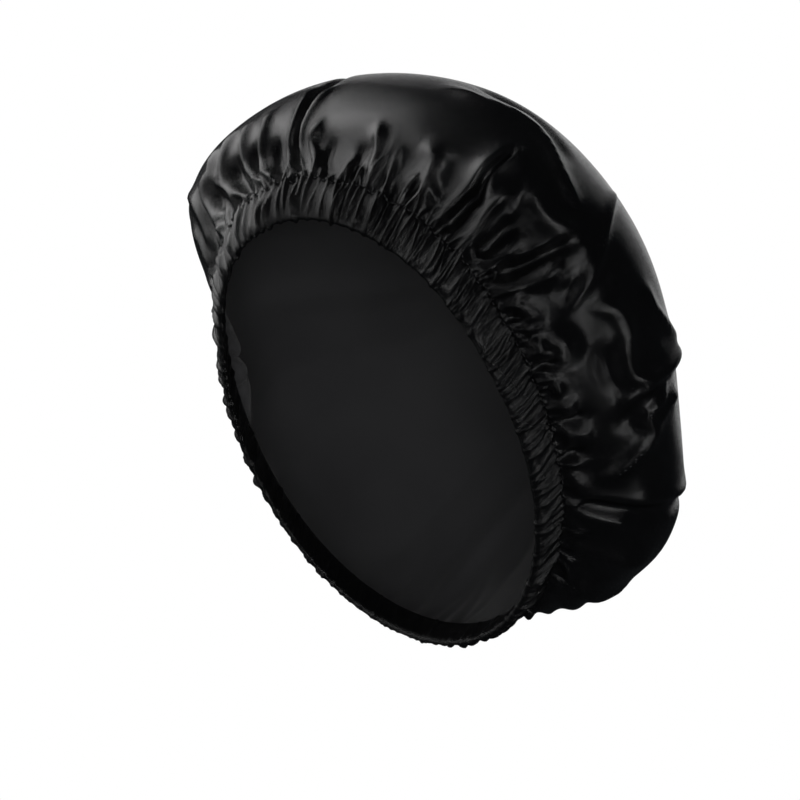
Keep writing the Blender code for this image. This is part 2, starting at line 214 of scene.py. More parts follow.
# The main folds. Most places are read off the photo. Those out of its sight, and those that had to
# move for a fold to look right, are set on the form.
CREASES = (
    # Over the brow: the deep furrow, its two edges, and the ridges beside it.
    Crease(4.5, 2.4, (Seen(295, 188), Seen(292, 146), Seen(296, 124), Place(99, 0.28))),
    Crease(-6, 2.8, (
        Seen(299, 207), Seen(299, 180), Seen(298, 156),
        Seen(317, 97), Place(97, 0.36), Place(98, 0.44),
    )),
    Crease(4.5, 2.4, (Seen(308, 196), Seen(304, 156), Seen(310, 113), Place(92, 0.27))),
    Crease(5, 2, (Seen(314, 197), Place(89, 0.03), Place(92, 0.1), Place(92, 0.17))),
    Crease(2.5, 2, (Seen(318, 143), Seen(324, 116))),
    Crease(-2.5, 2.5, (Seen(331, 200), Seen(327, 170), Seen(331, 140))),
    # Above the temple: ridges that rise from the stitches and bend forward.
    Crease(5.5, 2.5, (Seen(355, 203), Seen(379, 140), Seen(378, 121))),
    Crease(-3.5, 2.5, (Seen(356, 210), Seen(370, 165))),
    Crease(-3, 3.5, (Seen(340, 190), Seen(355, 170), Seen(368, 145))),
    Crease(5, 2.5, (Seen(373, 216), Seen(381, 190))),
    Crease(5.5, 3, (Seen(400, 224), Seen(417, 197))),
    Crease(-3.5, 2.5, (Seen(391, 205), Seen(391, 185))),
    Crease(3.5, 2.5, (Seen(403, 186), Seen(424, 181))),
    Crease(3.5, 3.5, (Seen(422, 143), Seen(430, 156), Seen(428, 181), Seen(438, 215))),
    Crease(-3, 2.5, (Seen(405, 200), Seen(416, 190), Seen(422, 200))),
    # The smooth panel and the long bent fold beside it.
    Crease(6, 3, (Seen(417, 236), Seen(436, 223), Seen(440, 214))),
    Crease(5, 4, (Seen(438, 219), Seen(459, 200), Seen(491, 158), Seen(520, 143))),
    Crease(4, 2.5, (Seen(520, 143), Seen(518, 151), Seen(491, 177), Seen(489, 206))),
    Crease(-4.5, 2.5, (Seen(514, 147), Seen(482, 183), Seen(476, 205))),
    Crease(-4.5, 3.5, (Seen(440, 232), Seen(455, 220), Seen(478, 190))),
    # Over the ear: the long ridge that arches back, and the valley under it.
    Crease(8.5, 3.2, (Seen(443, 273), Seen(505, 196), Seen(518, 191))),
    Crease(6, 4, (Seen(518, 191), Seen(531, 196), Seen(541, 212), Seen(562, 231), Seen(579, 235))),
    Crease(5.5, 4, (Seen(579, 235), Seen(585, 254), Seen(573, 296))),
    Crease(-5, 4, (Seen(470, 262), Seen(522, 212))),
    Crease(-5.5, 3.5, (Seen(577, 240), Seen(512, 273), Seen(460, 290))),
    Crease(4.5, 3.5, (Seen(472, 265), Seen(505, 254), Seen(520, 242))),
    Crease(5.5, 3.5, (Seen(478, 297), Seen(547, 273), Seen(566, 261))),
    # The crest of the front panel, and the thin crease behind it.
    Crease(4.5, 3, (
        Seen(436, 83), Seen(474, 99), Seen(527, 125),
        Seen(543, 141), Seen(562, 179), Seen(585, 223),
    )),
    Crease(-2.5, 4, (Seen(470, 84), Seen(500, 97), Seen(530, 113), Seen(572, 170))),
    Crease(3, 2, (Place(30, 0.42), Seen(610, 204), Seen(564, 319))),
    Crease(-3, 3.5, (Seen(598, 240), Seen(560, 305))),
    # Behind the ear: long soft folds that wind towards the back.
    Crease(7.5, 3, (
        Seen(577, 303), Seen(615, 317), Seen(623, 330), Seen(624, 360),
        Seen(632, 375), Seen(645, 375), Place(-3, 0.37),
    )),
    Crease(-4, 6, (Seen(600, 340), Seen(605, 365), Seen(620, 390), Seen(645, 392))),
    Crease(5.5, 3.5, (Seen(614, 408), Seen(632, 393), Seen(654, 378))),
    Crease(7.5, 3, (
        Seen(660, 378), Seen(658, 393), Seen(645, 410),
        Seen(645, 430), Seen(632, 451), Seen(593, 480),
    )),
    Crease(-4, 4.5, (Seen(610, 425), Seen(628, 418), Seen(640, 400))),
    Crease(3.5, 3, (Seen(675, 388), Seen(662, 414), Seen(649, 440), Seen(640, 460))),
    Crease(3.5, 3.4, (Seen(642, 280), Seen(649, 302), Seen(664, 323), Seen(682, 336))),
    Crease(-4, 6.5, (Seen(545, 330), Seen(585, 360))),
    # Low at the back: the fold that ends in the corner, and the curved folds below.
    Crease(3.5, 3.6, (Place(-38, 0.39), Place(-26, 0.2), Seen(556, 484))),
    Crease(-4.5, 4.5, (
        Place(-39, 0.4), Place(-35, 0.32), Place(-28, 0.18),
        Place(-22, 0.04), Place(-20, 0),
    )),
    Crease(5, 4.5, (Seen(556, 500), Seen(601, 516), Seen(619, 518), Seen(632, 510))),
    Crease(4, 4.5, (Seen(548, 478), Seen(593, 480))),
    Crease(5, 4.4, (Place(-38, 0), Place(-47, 0.08), Place(-54, 0.17), Place(-53, 0.26))),
    Crease(4.5, 4.2, (Place(-45, 0), Place(-52, 0.05), Place(-58, 0.12), Place(-62, 0.2))),
    Crease(4, 4.2, (Place(-53, 0), Place(-60, 0.06), Place(-66, 0.14))),
    Crease(-3, 3, (Seen(550, 563), Seen(585, 593))),
    Crease(3.5, 6, (Seen(560, 535), Seen(650, 560))),
    # Short puckers at the stitches, from the ear to the nape.
    Crease(5.5, 2.5, (Seen(497, 307), Seen(512, 305), Seen(541, 319))),
    Crease(-4, 2, (Seen(503, 315), Seen(530, 322))),
    Crease(5, 2, (Seen(505, 330), Seen(515, 340), Seen(526, 343))),
    Crease(5, 2.5, (Seen(526, 362), Seen(541, 352), Seen(560, 355))),
    Crease(-4, 2, (Seen(530, 372), Seen(545, 363), Seen(560, 366))),
    Crease(5, 2.5, (Seen(534, 372), Seen(543, 397))),
    Crease(5, 2.5, (Seen(553, 375), Seen(557, 385), Seen(553, 396))),
    Crease(5, 2.5, (Seen(550, 410), Seen(578, 402))),
    Crease(-4, 2.5, (Seen(548, 420), Seen(590, 412))),
    Crease(5.5, 2.5, (Seen(562, 446), Seen(572, 433), Seen(582, 430), Seen(586, 438), Seen(582, 448))),
    Crease(-4, 2.5, (Seen(560, 458), Seen(574, 452), Seen(590, 456))),
    Crease(4.5, 3, (Seen(553, 510), Seen(571, 521))),
    # The wearer's right of the brow: ridges that lean outwards as they rise.
    Crease(6, 2.2, (Seen(282, 192), Seen(269, 172), Seen(264, 153), Seen(267, 132), Place(107, 0.24))),
    Crease(-4.5, 2, (Seen(290, 205), Seen(276, 160), Seen(277, 138))),
    Crease(6, 2.2, (Seen(277, 191), Seen(255, 172), Seen(248, 156), Place(113, 0.24))),
    Crease(-4.5, 2, (Seen(275, 190), Seen(262, 173), Seen(257, 155), Seen(258, 136))),
    Crease(6, 2.4, (Seen(259, 204), Seen(234, 188), Seen(225, 172), Place(117, 0.24))),
    Crease(-4.5, 2.5, (Seen(259, 198), Seen(246, 187), Seen(236, 172), Seen(238, 155))),
    Crease(6, 2.4, (Seen(245, 234), Seen(240, 213), Seen(215, 176))),
    Crease(5.5, 3, (Seen(215, 176), Seen(208, 181), Seen(209, 197), Seen(218, 212), Seen(227, 220))),
    Crease(-5, 2.5, (Seen(216, 187), Seen(219, 199), Seen(228, 212))),
    Crease(4, 2.5, (Seen(213, 175), Seen(216, 159), Seen(224, 148))),
    Crease(3.5, 3, (Seen(216, 248), Seen(197, 207), Place(139, 0.22))),
    Crease(-4, 2.5, (Seen(221, 240), Seen(212, 222), Seen(199, 188))),
    Crease(4, 3, (Seen(217, 270), Seen(213, 255), Seen(196, 228))),
    Crease(4, 2, (Seen(231, 251), Seen(227, 222))),
    Crease(4, 2, (Seen(239, 246), Seen(232, 228))),
    Crease(4, 2, (Seen(247, 214), Seen(250, 205))),
    # Over the back, which the photo does not show: broad soft folds that hang towards the nape.
    Crease(3, 9, (Place(152, 0.26), Place(160, 0.45), Place(150, 0.7))),
    Crease(3, 10, (Place(188, 0.3), Place(196, 0.52), Place(212, 0.8))),
    Crease(-2.5, 8, (Place(172, 0.34), Place(178, 0.55), Place(182, 0.78))),
    Crease(3, 8, (Place(-128, 0.24), Place(-121, 0.44), Place(-108, 0.66))),
    Crease(-2.5, 7, (Place(-112, 0.22), Place(-106, 0.38), Place(-92, 0.52))),
    Crease(3, 9, (Place(-96, 0.25), Place(-86, 0.46), Place(-64, 0.74))),
    Crease(2.5, 7, (Place(-66, 0.3), Place(-52, 0.5), Place(-30, 0.66))),
    Crease(2.5, 8, (Place(-28, 0.46), Place(-14, 0.62), Place(24, 0.74))),
    Crease(-2.5, 8, (Place(-40, 0.52), Place(-20, 0.7), Place(10, 0.84))),
    Crease(2.5, 8, (Place(120, 0.4), Place(112, 0.58), Place(84, 0.74))),
)

# The gathers at each angle round the mouth: the longest, and how high they stand.
GATHER_SIZES = (
    GatherSize(-180.0, 95.0, 2.5),
    GatherSize(-150.0, 115.0, 2.6),
    GatherSize(-110.0, 100.0, 2.5),
    GatherSize(-80.0, 60.0, 2.4),
    GatherSize(-60.0, 36.0, 2.2),
    GatherSize(-20.0, 24.0, 2.2),
    GatherSize(20.0, 24.0, 2.5),
    GatherSize(45.0, 32.0, 3.1),
    GatherSize(70.0, 44.0, 3.9),
    GatherSize(95.0, 36.0, 3.8),
    GatherSize(125.0, 38.0, 4.2),
    GatherSize(150.0, 70.0, 3.0),
)

# The rim all round the mouth. Over the brow the gathers run straight up from the edge.
RIM_SHAPES = (
    RimShape(-180.0, 2.5, 0.0, 0.3),
    RimShape(-60.0, 2.5, 0.0, 0.3),
    RimShape(20.0, 3.0, 0.0, 0.4),
    RimShape(50.0, 7.0, 4.0, 0.9),
    RimShape(90.0, 9.0, 5.0, 1.0),
    RimShape(120.0, 8.0, 4.5, 1.0),
    RimShape(155.0, 4.0, 0.0, 0.6),
)

# The crown's rows: fine at the stitches, coarser towards its middle.
ROW_BANDS = (
    Band(0.05, 1280, 1.5),
    Band(0.42, 640, 2.5),
    Band(0.75, 320, 3.6),
    Band(0.96, 160, 5.0),
)


def smooth_step(value: Array) -> Array:
    """Return 0 below 0, 1 above 1, and an even curve between."""
    share = np.clip(value, 0.0, 1.0)
    return share * share * (3.0 - 2.0 * share)


def turn_between(start: float, end: Array) -> Array:
    """Return the shorter turn from one angle to another, in radians."""
    return (end - start + math.pi) % (2.0 * math.pi) - math.pi


def unit(vectors: Array) -> Array:
    """Return the vectors with length one."""
    lengths = np.linalg.norm(vectors, axis=-1, keepdims=True)
    return vectors / np.maximum(lengths, 1e-9)


def smooth_path(stations: Array, knots: Array, slopes: Array, places: Array) -> Array:
    """Return points of the smooth curve through some knots.

    Args:
        stations: how far along the curve each knot is.
        knots: the knots, one a row.
        slopes: the curve's slope at each knot.
        places: how far along the curve the wanted points are.

    Returns:
        One point a row.
    """
    knot = np.clip(np.searchsorted(stations, places, side="right") - 1, 0, len(stations) - 2)
    span = (stations[knot + 1] - stations[knot])[:, None]
    share = (places - stations[knot])[:, None] / span
    return (
        (2 * share**3 - 3 * share**2 + 1) * knots[knot]
        + (share**3 - 2 * share**2 + share) * span * slopes[knot]
        + (3 * share**2 - 2 * share**3) * knots[knot + 1]
        + (share**3 - share**2) * span * slopes[knot + 1]
    )


def crest(distance: Array, half_width: Array, rounding: Array) -> Array:
    """Return the height of a ridge beside its line: a narrow round crest, 1 high, and long flanks.

    Args:
        distance: distance from the ridge's line.
        half_width: how far off its height has fallen to about a third.
        rounding: how round the crest is.
    """
    return np.exp((rounding - np.hypot(distance, rounding)) / half_width)


@dataclass
class CrownForm:
    """The form that the crown's cloth follows, in millimetres.

    Attributes:
        tilt: how far the mouth leans from level, in degrees.
        middle_depth: depth of the crown's middle, which its swells stand away from.
        cloth_length: length of the cloth from the stitches to the crown's middle.
        seam_reach: how far up the cloth the lift of the stitches is felt.
        straight_reach: how far up the cloth the crown may run straight on from the casing.
        straight_share: share of that reach over which it does so fully.
        swell_start, swell_end: the reach over which the swells begin, and die out at the middle.
        outward_start, outward_run: where the direction of a swell turns from the crown's axis to
            its middle, and over how much reach.
    """

    tilt: float = 57.8
    middle_depth: float = 76.0
    cloth_length: float = 262.0
    seam_reach: float = 0.075
    straight_reach: float = 0.22
    straight_share: float = 0.3
    swell_start: float = 0.13
    swell_end: float = 0.25
    outward_start: float = 0.05
    outward_run: float = 0.30
    across: Array = field(init=False)
    forward_up: Array = field(init=False)
    inward: Array = field(init=False)
    rings: Array = field(init=False)
    slopes: Array = field(init=False)
    stations: Array = field(init=False)

    def __post_init__(self) -> None:
        """Work out the mouth's axes and where the rings lie along the profile."""
        lean = math.radians(self.tilt)
        self.across = np.array((1.0, 0.0, 0.0))
        self.forward_up = np.array((0.0, -math.cos(lean), math.sin(lean)))
        self.inward = np.array((0.0, math.sin(lean), math.cos(lean)))
        self.rings = np.array(RINGS, dtype=float)
        steps = np.linalg.norm(np.diff(self.rings[:, :3], axis=0), axis=1)
        self.stations = np.concatenate(([0.0], np.cumsum(steps))) / steps.sum()
        last = len(self.rings) - 1
        before = np.maximum(np.arange(last + 1) - 1, 0)
        after = np.minimum(np.arange(last + 1) + 1, last)
        runs = (self.stations[after] - self.stations[before])[:, None]
        self.slopes = (self.rings[after] - self.rings[before]) / runs
        self.slopes[-1, 0] = 0.0

    def ring_at(self, reach: Array) -> Array:
        """Return depth, half width, half length and lift at each reach."""
        return smooth_path(self.stations, self.rings, self.slopes, reach)

    def radius_at(self, reach: Array) -> Array:
        """Return the crown's mean radius at each reach."""
        rings = self.ring_at(reach)
        return np.sqrt(np.maximum(rings[:, 1] * rings[:, 2], 1.0))

    def sideways_at(self, around: Array) -> Array:
        """Return the direction that leads straight away from the mouth's edge, in its plane."""
        across = self.rings[0, 2] * np.cos(around)[:, None] * self.across
        return unit(across + self.rings[0, 1] * np.sin(around)[:, None] * self.forward_up)

    def rim_shape(self, around: Array) -> tuple[Array, Array, Array]:
        """Work out how the crown leaves its rim.

        Args:
            around: angles round the mouth, in radians.

        Returns:
            The stitches' lift, the edge's lift and the straightness at each angle.
        """
        angles, *columns = np.array(RIM_SHAPES).T
        degrees = np.degrees(around)
        return tuple(np.interp(degrees, angles, column, period=360.0) for column in columns)

    def rim_lift(self, around: Array, share: Array) -> Array:
        """Return how far the rim stands out, share of the way from its folded edge to its stitches."""
        at_stitches, at_edge, _ = self.rim_shape(around)
        return at_edge + (at_stitches - at_edge) * share

    def bump_height(self, around: Array, reach: Array) -> Array:
        """Add up the broad swells.

        Args:
            around: angles round the mouth, in radians.
            reach: places along the cloth.

        Returns:
            How far they push the crown out at each place.
        """
        total = np.zeros_like(around)
        for bump in BUMPS:
            turn = np.degrees(turn_between(math.radians(bump.around), around)) / bump.spread
            rise = (reach - bump.reach) / bump.spread_reach
            total += bump.height * np.exp(-turn * turn - rise * rise)
        return total * smooth_step(reach / self.swell_start) * smooth_step((1.0 - reach) / self.swell_end)

    def puffed(self, around: Array, reach: Array) -> Array:
        """Work out the form where the crown puffs out at once from its stitches.

        Args:
            around: angles round the mouth, in radians.
            reach: places along the cloth.

        Returns:
            The form's point at each place.
        """
        depth, half_width, half_length, lift = (column[:, None] for column in self.ring_at(reach).T)
        axis_points = self.forward_up * lift + self.inward * depth
        turned = around[:, None]
        points = axis_points + self.across * (half_width * np.cos(turned))
        points = points + self.forward_up * (half_length * np.sin(turned))
        middle = self.forward_up * lift + self.inward * self.middle_depth
        share = smooth_step((reach - self.outward_start) / self.outward_run)[:, None]
        outward = unit(points - (axis_points * (1.0 - share) + middle * share))
        points = points + outward * self.bump_height(around, reach)[:, None]
        held = self.rim_shape(around)[0] * (1.0 - smooth_step(reach / self.seam_reach))
        return points + self.sideways_at(around) * held[:, None]

    def points(self, around: Array, reach: Array) -> Array:
        """Return the form's points, without its folds.

        Args:
            around: angles round the mouth, in radians.
            reach: places along the cloth, from 0 at the stitches to 1 at the middle.

        Returns:
            One point for each place, in millimetres.
        """
        points = self.puffed(around, reach)
        low = reach < self.straight_reach
        share = reach[low] / self.straight_reach
        start = self.puffed(around[low], np.zeros_like(share))
        end = self.puffed(around[low], np.full_like(share, self.straight_reach))
        straight = start + (end - start) * share[:, None]
        bent = smooth_step((share - self.straight_share) / (1.0 - self.straight_share))
        weight = self.rim_shape(around[low])[2] * (1.0 - bent)
        points[low] += (straight - points[low]) * weight[:, None]
        return points


def camera_axes() -> tuple[Array, Array, Array]:
    """Work out how the photo's camera stands.

    Returns:
        Its right, the direction from the object to it, and its up.
    """
    turn = math.radians(PHOTO_AZIMUTH)
    right = np.array((math.cos(turn), math.sin(turn), 0.0))
    near = np.array((math.sin(turn), -math.cos(turn), 0.0))
    return right, near, np.array((0.0, 0.0, 1.0))


@dataclass
class PhotoView:
    """The crown's form as the photo's camera sees it, to find what place lies at a pixel.

    Attributes:
        form: the crown's form.
        columns, rows: how many places of the form are tried, round the mouth and up the cloth.
        edge_on: how far a place may turn from the camera and still be found on the outline.
        last_angle: the largest angle that a place is given; past it, angles are below zero.
    """

    form: CrownForm
    columns: int = 1440
    rows: int = 420
    edge_on: float = 0.02
    last_angle: float = 190.0
    around: Array = field(init=False)
    reach: Array = field(init=False)
    right: Array = field(init=False)
    down: Array = field(init=False)

    def __post_init__(self) -> None:
        """Work out the pixel of each place that faces the camera."""
        angles = np.arange(self.columns) * 2.0 * math.pi / self.columns
        around, reach = np.meshgrid(angles, np.linspace(0.0, 1.0, self.rows), indexing="ij")
        points = self.form.points(around.ravel(), reach.ravel()).reshape(self.columns, self.rows, 3)
        right, near, up = camera_axes()
        distance = PHOTO_DISTANCE / MM
        camera = (PHOTO_AIM_RIGHT / MM) * right + (PHOTO_AIM_UP / MM) * up + distance * near
        from_camera = points - camera
        scale = distance / (PHOTO_WIDTH / MM / PHOTO_PIXELS) / -(from_camera @ near)
        faces_camera = (self.normals(points) * -unit(from_camera)).sum(axis=-1) > -self.edge_on
        middle = PHOTO_PIXELS / 2.0
        self.around, self.reach = around[faces_camera], reach[faces_camera]
        self.right = (middle + scale * (from_camera @ right))[faces_camera]
        self.down = (middle - scale * (from_camera @ up))[faces_camera]

    def normals(self, points: Array) -> Array:
        """Work out which way the form faces.

        Args:
            points: a grid of its points, round the mouth and up the cloth.

        Returns:
            The outward normal at each point.
        """
        sideways = np.roll(points, -1, axis=0) - np.roll(points, 1, axis=0)
        normals = np.cross(sideways, np.gradient(points, axis=1))
        outward_from = self.form.inward * self.form.middle_depth
        signs = np.sign(((points - outward_from) * normals).sum(axis=-1, keepdims=True))
        return unit(normals * signs)

    def find(self, spot: Seen | Place) -> Place:
        """Return a spot as a place on the form.

        Args:
            spot: a pixel of the photo, or a place, which is returned as it is.

        Returns:
            The place, to a whole degree and a hundredth of the reach, which are 2 to 3 mm.
        """
        if isinstance(spot, Place):
            return spot
        nearest = np.argmin(np.hypot(self.right - spot.right, self.down - spot.down))
        angle = math.degrees(self.around[nearest])
        if angle > self.last_angle:
            angle -= 360.0
        return Place(round(angle), round(float(self.reach[nearest]), 2))


@dataclass
class FoldLine:
    """The smooth line that one ridge or furrow follows over the crown.

    Attributes:
        crease: the ridge or furrow.
        view: the photo's view of the form, which tells where the crease's places are.
        step: how far apart the line's points are, in millimetres.
        rounding: how round the crest of a narrow ridge is, in millimetres.
        rounding_share: the same for a wide ridge, as a share of its half width.
        taper: share of the line over which an end of the crease dies away.
        least_fade, margin: the least length over which it does, and how far off the line it is
            still felt, both in half widths.
        seam_reach: the reach up to which a crease starts at the stitches, and so at full height.
    """

    crease: Crease
    view: PhotoView
    step: float = 4.0
    rounding: float = 0.8
    rounding_share: float = 0.28
    taper: float = 0.22
    margin: float = 6.0
    least_fade: float = 3.0
    seam_reach: float = 0.01
    line: Array = field(init=False)
    length: float = field(init=False)

    def __post_init__(self) -> None:
        """Lay a smooth curve through the crease's places."""
        places = np.array([self.view.find(spot) for spot in self.crease.places], dtype=float)
        places[:, 0] = np.radians(places[:, 0])
        radius = self.form.radius_at(places[:, 1])
        runs = np.diff(places[:, 0]) * 0.5 * (radius[1:] + radius[:-1])
        rises = np.diff(places[:, 1]) * self.form.cloth_length
        stations = np.concatenate(([0.0], np.cumsum(np.hypot(runs, rises))))
        slopes = np.gradient(places, stations, axis=0)
        self.length = float(stations[-1])
        count = max(int(self.length / self.step), 2) + 1
        self.line = smooth_path(stations, places, slopes, np.linspace(0.0, self.length, count))

    @property
    def form(self) -> CrownForm:
        """Return the crown's form."""
        return self.view.form

    def nearest(self, around: Array, reach: Array, radius: Array) -> tuple[Array, Array]:
        """Measure how places lie beside the line.

        Args:
            around: angles round the mouth, in radians.
            reach: places along the cloth.
            radius: the crown's mean radius there, in millimetres.

        Returns:
            How far each place is from the line, and how far along the line that is.
        """
        nearest = np.full_like(around, 1e6)
        travelled = np.zeros_like(around)
        step = self.length / (len(self.line) - 1)
        for index, (start, end) in enumerate(zip(self.line[:-1], self.line[1:])):
            sideways = turn_between(start[0], around) * radius
            upward = (reach - start[1]) * self.form.cloth_length
            run = (end[0] - start[0]) * radius
            rise = (end[1] - start[1]) * self.form.cloth_length
            along = np.clip((sideways * run + upward * rise) / (run * run + rise * rise), 0.0, 1.0)
            distance = np.hypot(sideways - along * run, upward - along * rise)
            closer = distance < nearest
            nearest = np.where(closer, distance, nearest)
            travelled = np.where(closer, (index + along) * step, travelled)
        return nearest, travelled

    def heights(self, around: Array, reach: Array, radius: Array) -> Array:
        """Work out the crease's own folds.

        Args:
            around: angles round the mouth, in radians.
            reach: places along the cloth.
            radius: the crown's mean radius there, in millimetres.

        Returns:
            How far the crease lifts the cloth at each place, in millimetres.
        """
        crease = self.crease
        margin = self.margin * crease.half_width
        middle = 0.5 * (self.line[:, 0].min() + self.line[:, 0].max())
        half_turn = 0.5 * (self.line[:, 0].max() - self.line[:, 0].min())
        above = (reach - self.line[:, 1].max()) * self.form.cloth_length
        below = (self.line[:, 1].min() - reach) * self.form.cloth_length
        beside = (np.abs(turn_between(middle, around)) - half_turn) * radius
        close = (beside < margin) & (above < margin) & (below < margin)
        distance, travelled = self.nearest(around[close], reach[close], radius[close])
        fade = max(self.least_fade * crease.half_width, self.taper * self.length)
        risen = smooth_step((self.length - travelled + 0.5 * crease.half_width) / fade)
        if self.line[0, 1] > self.seam_reach:
            risen = risen * smooth_step((travelled + 0.5 * crease.half_width) / fade)
        if crease.height > 0.0:
            rounding = max(self.rounding, self.rounding_share * crease.half_width)
            shape = crest(distance, crease.half_width, rounding)
        else:
            shape = np.exp(-((distance / crease.half_width) ** 2))
        heights = np.zeros_like(around)
        heights[close] = crease.height * risen * shape
        return heights


@dataclass
class Gathers:
    """The ridges that fan out from the stitches, and run on as ribs of the casing.

    Attributes:
        form: the form that they stand on.
        count: how many there are round the mouth.
        seam_width: their mean half width there, in millimetres.
        spread: how much wider they grow for each millimetre along the cloth.
        evenness: how evenly they are spaced.
        least_room, most_room: range of a gather's size, for the room that it has.
        shortest, longer, shortness: the least length of a gather, how much is added to it by lot,
            and how often that is little, for the longest gathers there.
        uneven_height, uneven_width: how far the heights and half widths differ from their mean.
        lean: how far they lean from straight up.
        least_sway, sway_length: the least that they wind, and the length at which they wind by a
            millimetre.
        winding, rib_winding: length of cloth that a bend takes on the crown and on the casing.
        swell, swell_run: how much higher they grow past the stitches, and over what length.
        fading: how early they begin to die out.
        sharpest, blunting, bluntest: how round their crests are at the stitches, how much rounder
            they grow for each millimetre, and the most they do.
        rib_rounding: how round the crests of the ribs are, in millimetres.
        rib_share: how far the ribs lean and wind, for the gathers that they run on from.
        rib_unevenness, rib_beat: how much a rib's height changes, and over what length.
        seed: seed of their chance places and sizes.
    """

    form: CrownForm
    count: int = 190
    seam_width: float = 0.68
    spread: float = 0.042
    evenness: float = 8.0
    least_room: float = 0.7
    most_room: float = 1.2
    shortest: float = 0.16
    longer: float = 1.05
    shortness: float = 2.6
    uneven_height: float = 0.25
    uneven_width: float = 0.2
    lean: float = 0.18
    least_sway: float = 0.3
    sway_length: float = 25.0
    winding: float = 9.0
    rib_winding: float = 5.0
    swell: float = 0.7
    swell_run: float = 14.0
    fading: float = 1.2
    sharpest: float = 0.35
    blunting: float = 0.04
    bluntest: float = 1.3
    rib_rounding: float = 0.4
    rib_share: float = 0.5
    rib_unevenness: float = 0.35
    rib_beat: float = 6.0
    seed: int = 7
    ridges: list[Ridge] = field(init=False)

    def __post_init__(self) -> None:
        """Draw the ridges by lot."""
        chance = np.random.default_rng(self.seed)
        gaps = chance.gamma(self.evenness, 1.0, self.count)
        starts = np.cumsum(gaps) / gaps.sum() * 2.0 * math.pi
        room = np.sqrt(0.5 * (gaps + np.roll(gaps, -1)) / gaps.mean())
        room = np.clip(room, self.least_room, self.most_room)
        angles, lengths, heights = np.array(GATHER_SIZES).T
        longest = np.interp(np.degrees(starts), angles, lengths, period=360.0)
        highest = np.interp(np.degrees(starts), angles, heights, period=360.0)
        self.ridges = []
        for start, space, most, high in zip(starts, room, longest, highest):
            length = most * (self.shortest + self.longer * chance.random() ** self.shortness)
            self.ridges.append(
                Ridge(
                    start=start,
                    height=high * self.about_one(chance, self.uneven_height) * space,
                    half_width=self.seam_width * self.about_one(chance, self.uneven_width) * space,
                    length=length,
                    lean=chance.normal(0.0, self.lean),
                    sway=chance.uniform(self.least_sway, 1.0) * length / self.sway_length,
                    phase=chance.uniform(0.0, 2.0 * math.pi),
                )
            )

    def about_one(self, chance: np.random.Generator, unevenness: float) -> float:
        """Return a chance number that differs from one by up to the unevenness."""
        return chance.uniform(1.0 - unevenness, 1.0 + unevenness)

    def rise(self, around: Array, reach: Array) -> Array:
        """Add up the gathers of the crown.

        Args:
            around: angles round the mouth, in radians.
            reach: places along the cloth, from 0 at the stitches.

        Returns:
            How far they lift the crown at each place, in millimetres.
        """
        radius = self.form.radius_at(reach)
        travelled = reach * self.form.cloth_length
        total = np.zeros_like(around)
        for ridge in self.ridges:
            within = travelled < ridge.length
            way = travelled[within]
            sideways = turn_between(ridge.start, around[within]) * radius[within]
            wind = np.sin(way / self.winding + ridge.phase) - math.sin(ridge.phase)
            centre = ridge.lean * way + ridge.sway * wind
            half_width = ridge.half_width + self.spread * way
            swell = 1.0 + self.swell * smooth_step(way / self.swell_run)
            fade = (1.0 - way / ridge.length) ** self.fading
            rounding = np.minimum(self.sharpest + self.blunting * way, self.bluntest)
            total[within] += ridge.height * swell * fade * crest(sideways - centre, half_width, rounding)
        return total

    def ribs(self, around: Array, way: Array) -> Array:
        """Add up the ribs of the casing.

        Args:
            around: angles round the mouth, in radians.
            way: how far over the casing from the stitches, in millimetres.

        Returns:
            How far they stand out at each place, in millimetres.
        """
        radius = self.form.radius_at(np.zeros(1))[0]
        total = np.zeros_like(around)
        for ridge in self.ridges:
            sideways = turn_between(ridge.start, around) * radius
            wind = np.sin(way / self.rib_winding + ridge.phase) - math.sin(ridge.phase)
            beat = 1.0 + np.sin(way / self.rib_beat + 2.0 * ridge.phase)
            uneven = smooth_step(way / self.rib_winding) * self.rib_unevenness * beat
            centre = self.rib_share * (wind + ridge.lean * way)
            shape = crest(sideways - centre, ridge.half_width, self.rib_rounding)
            total += ridge.height * (1.0 - uneven) * shape
        return total


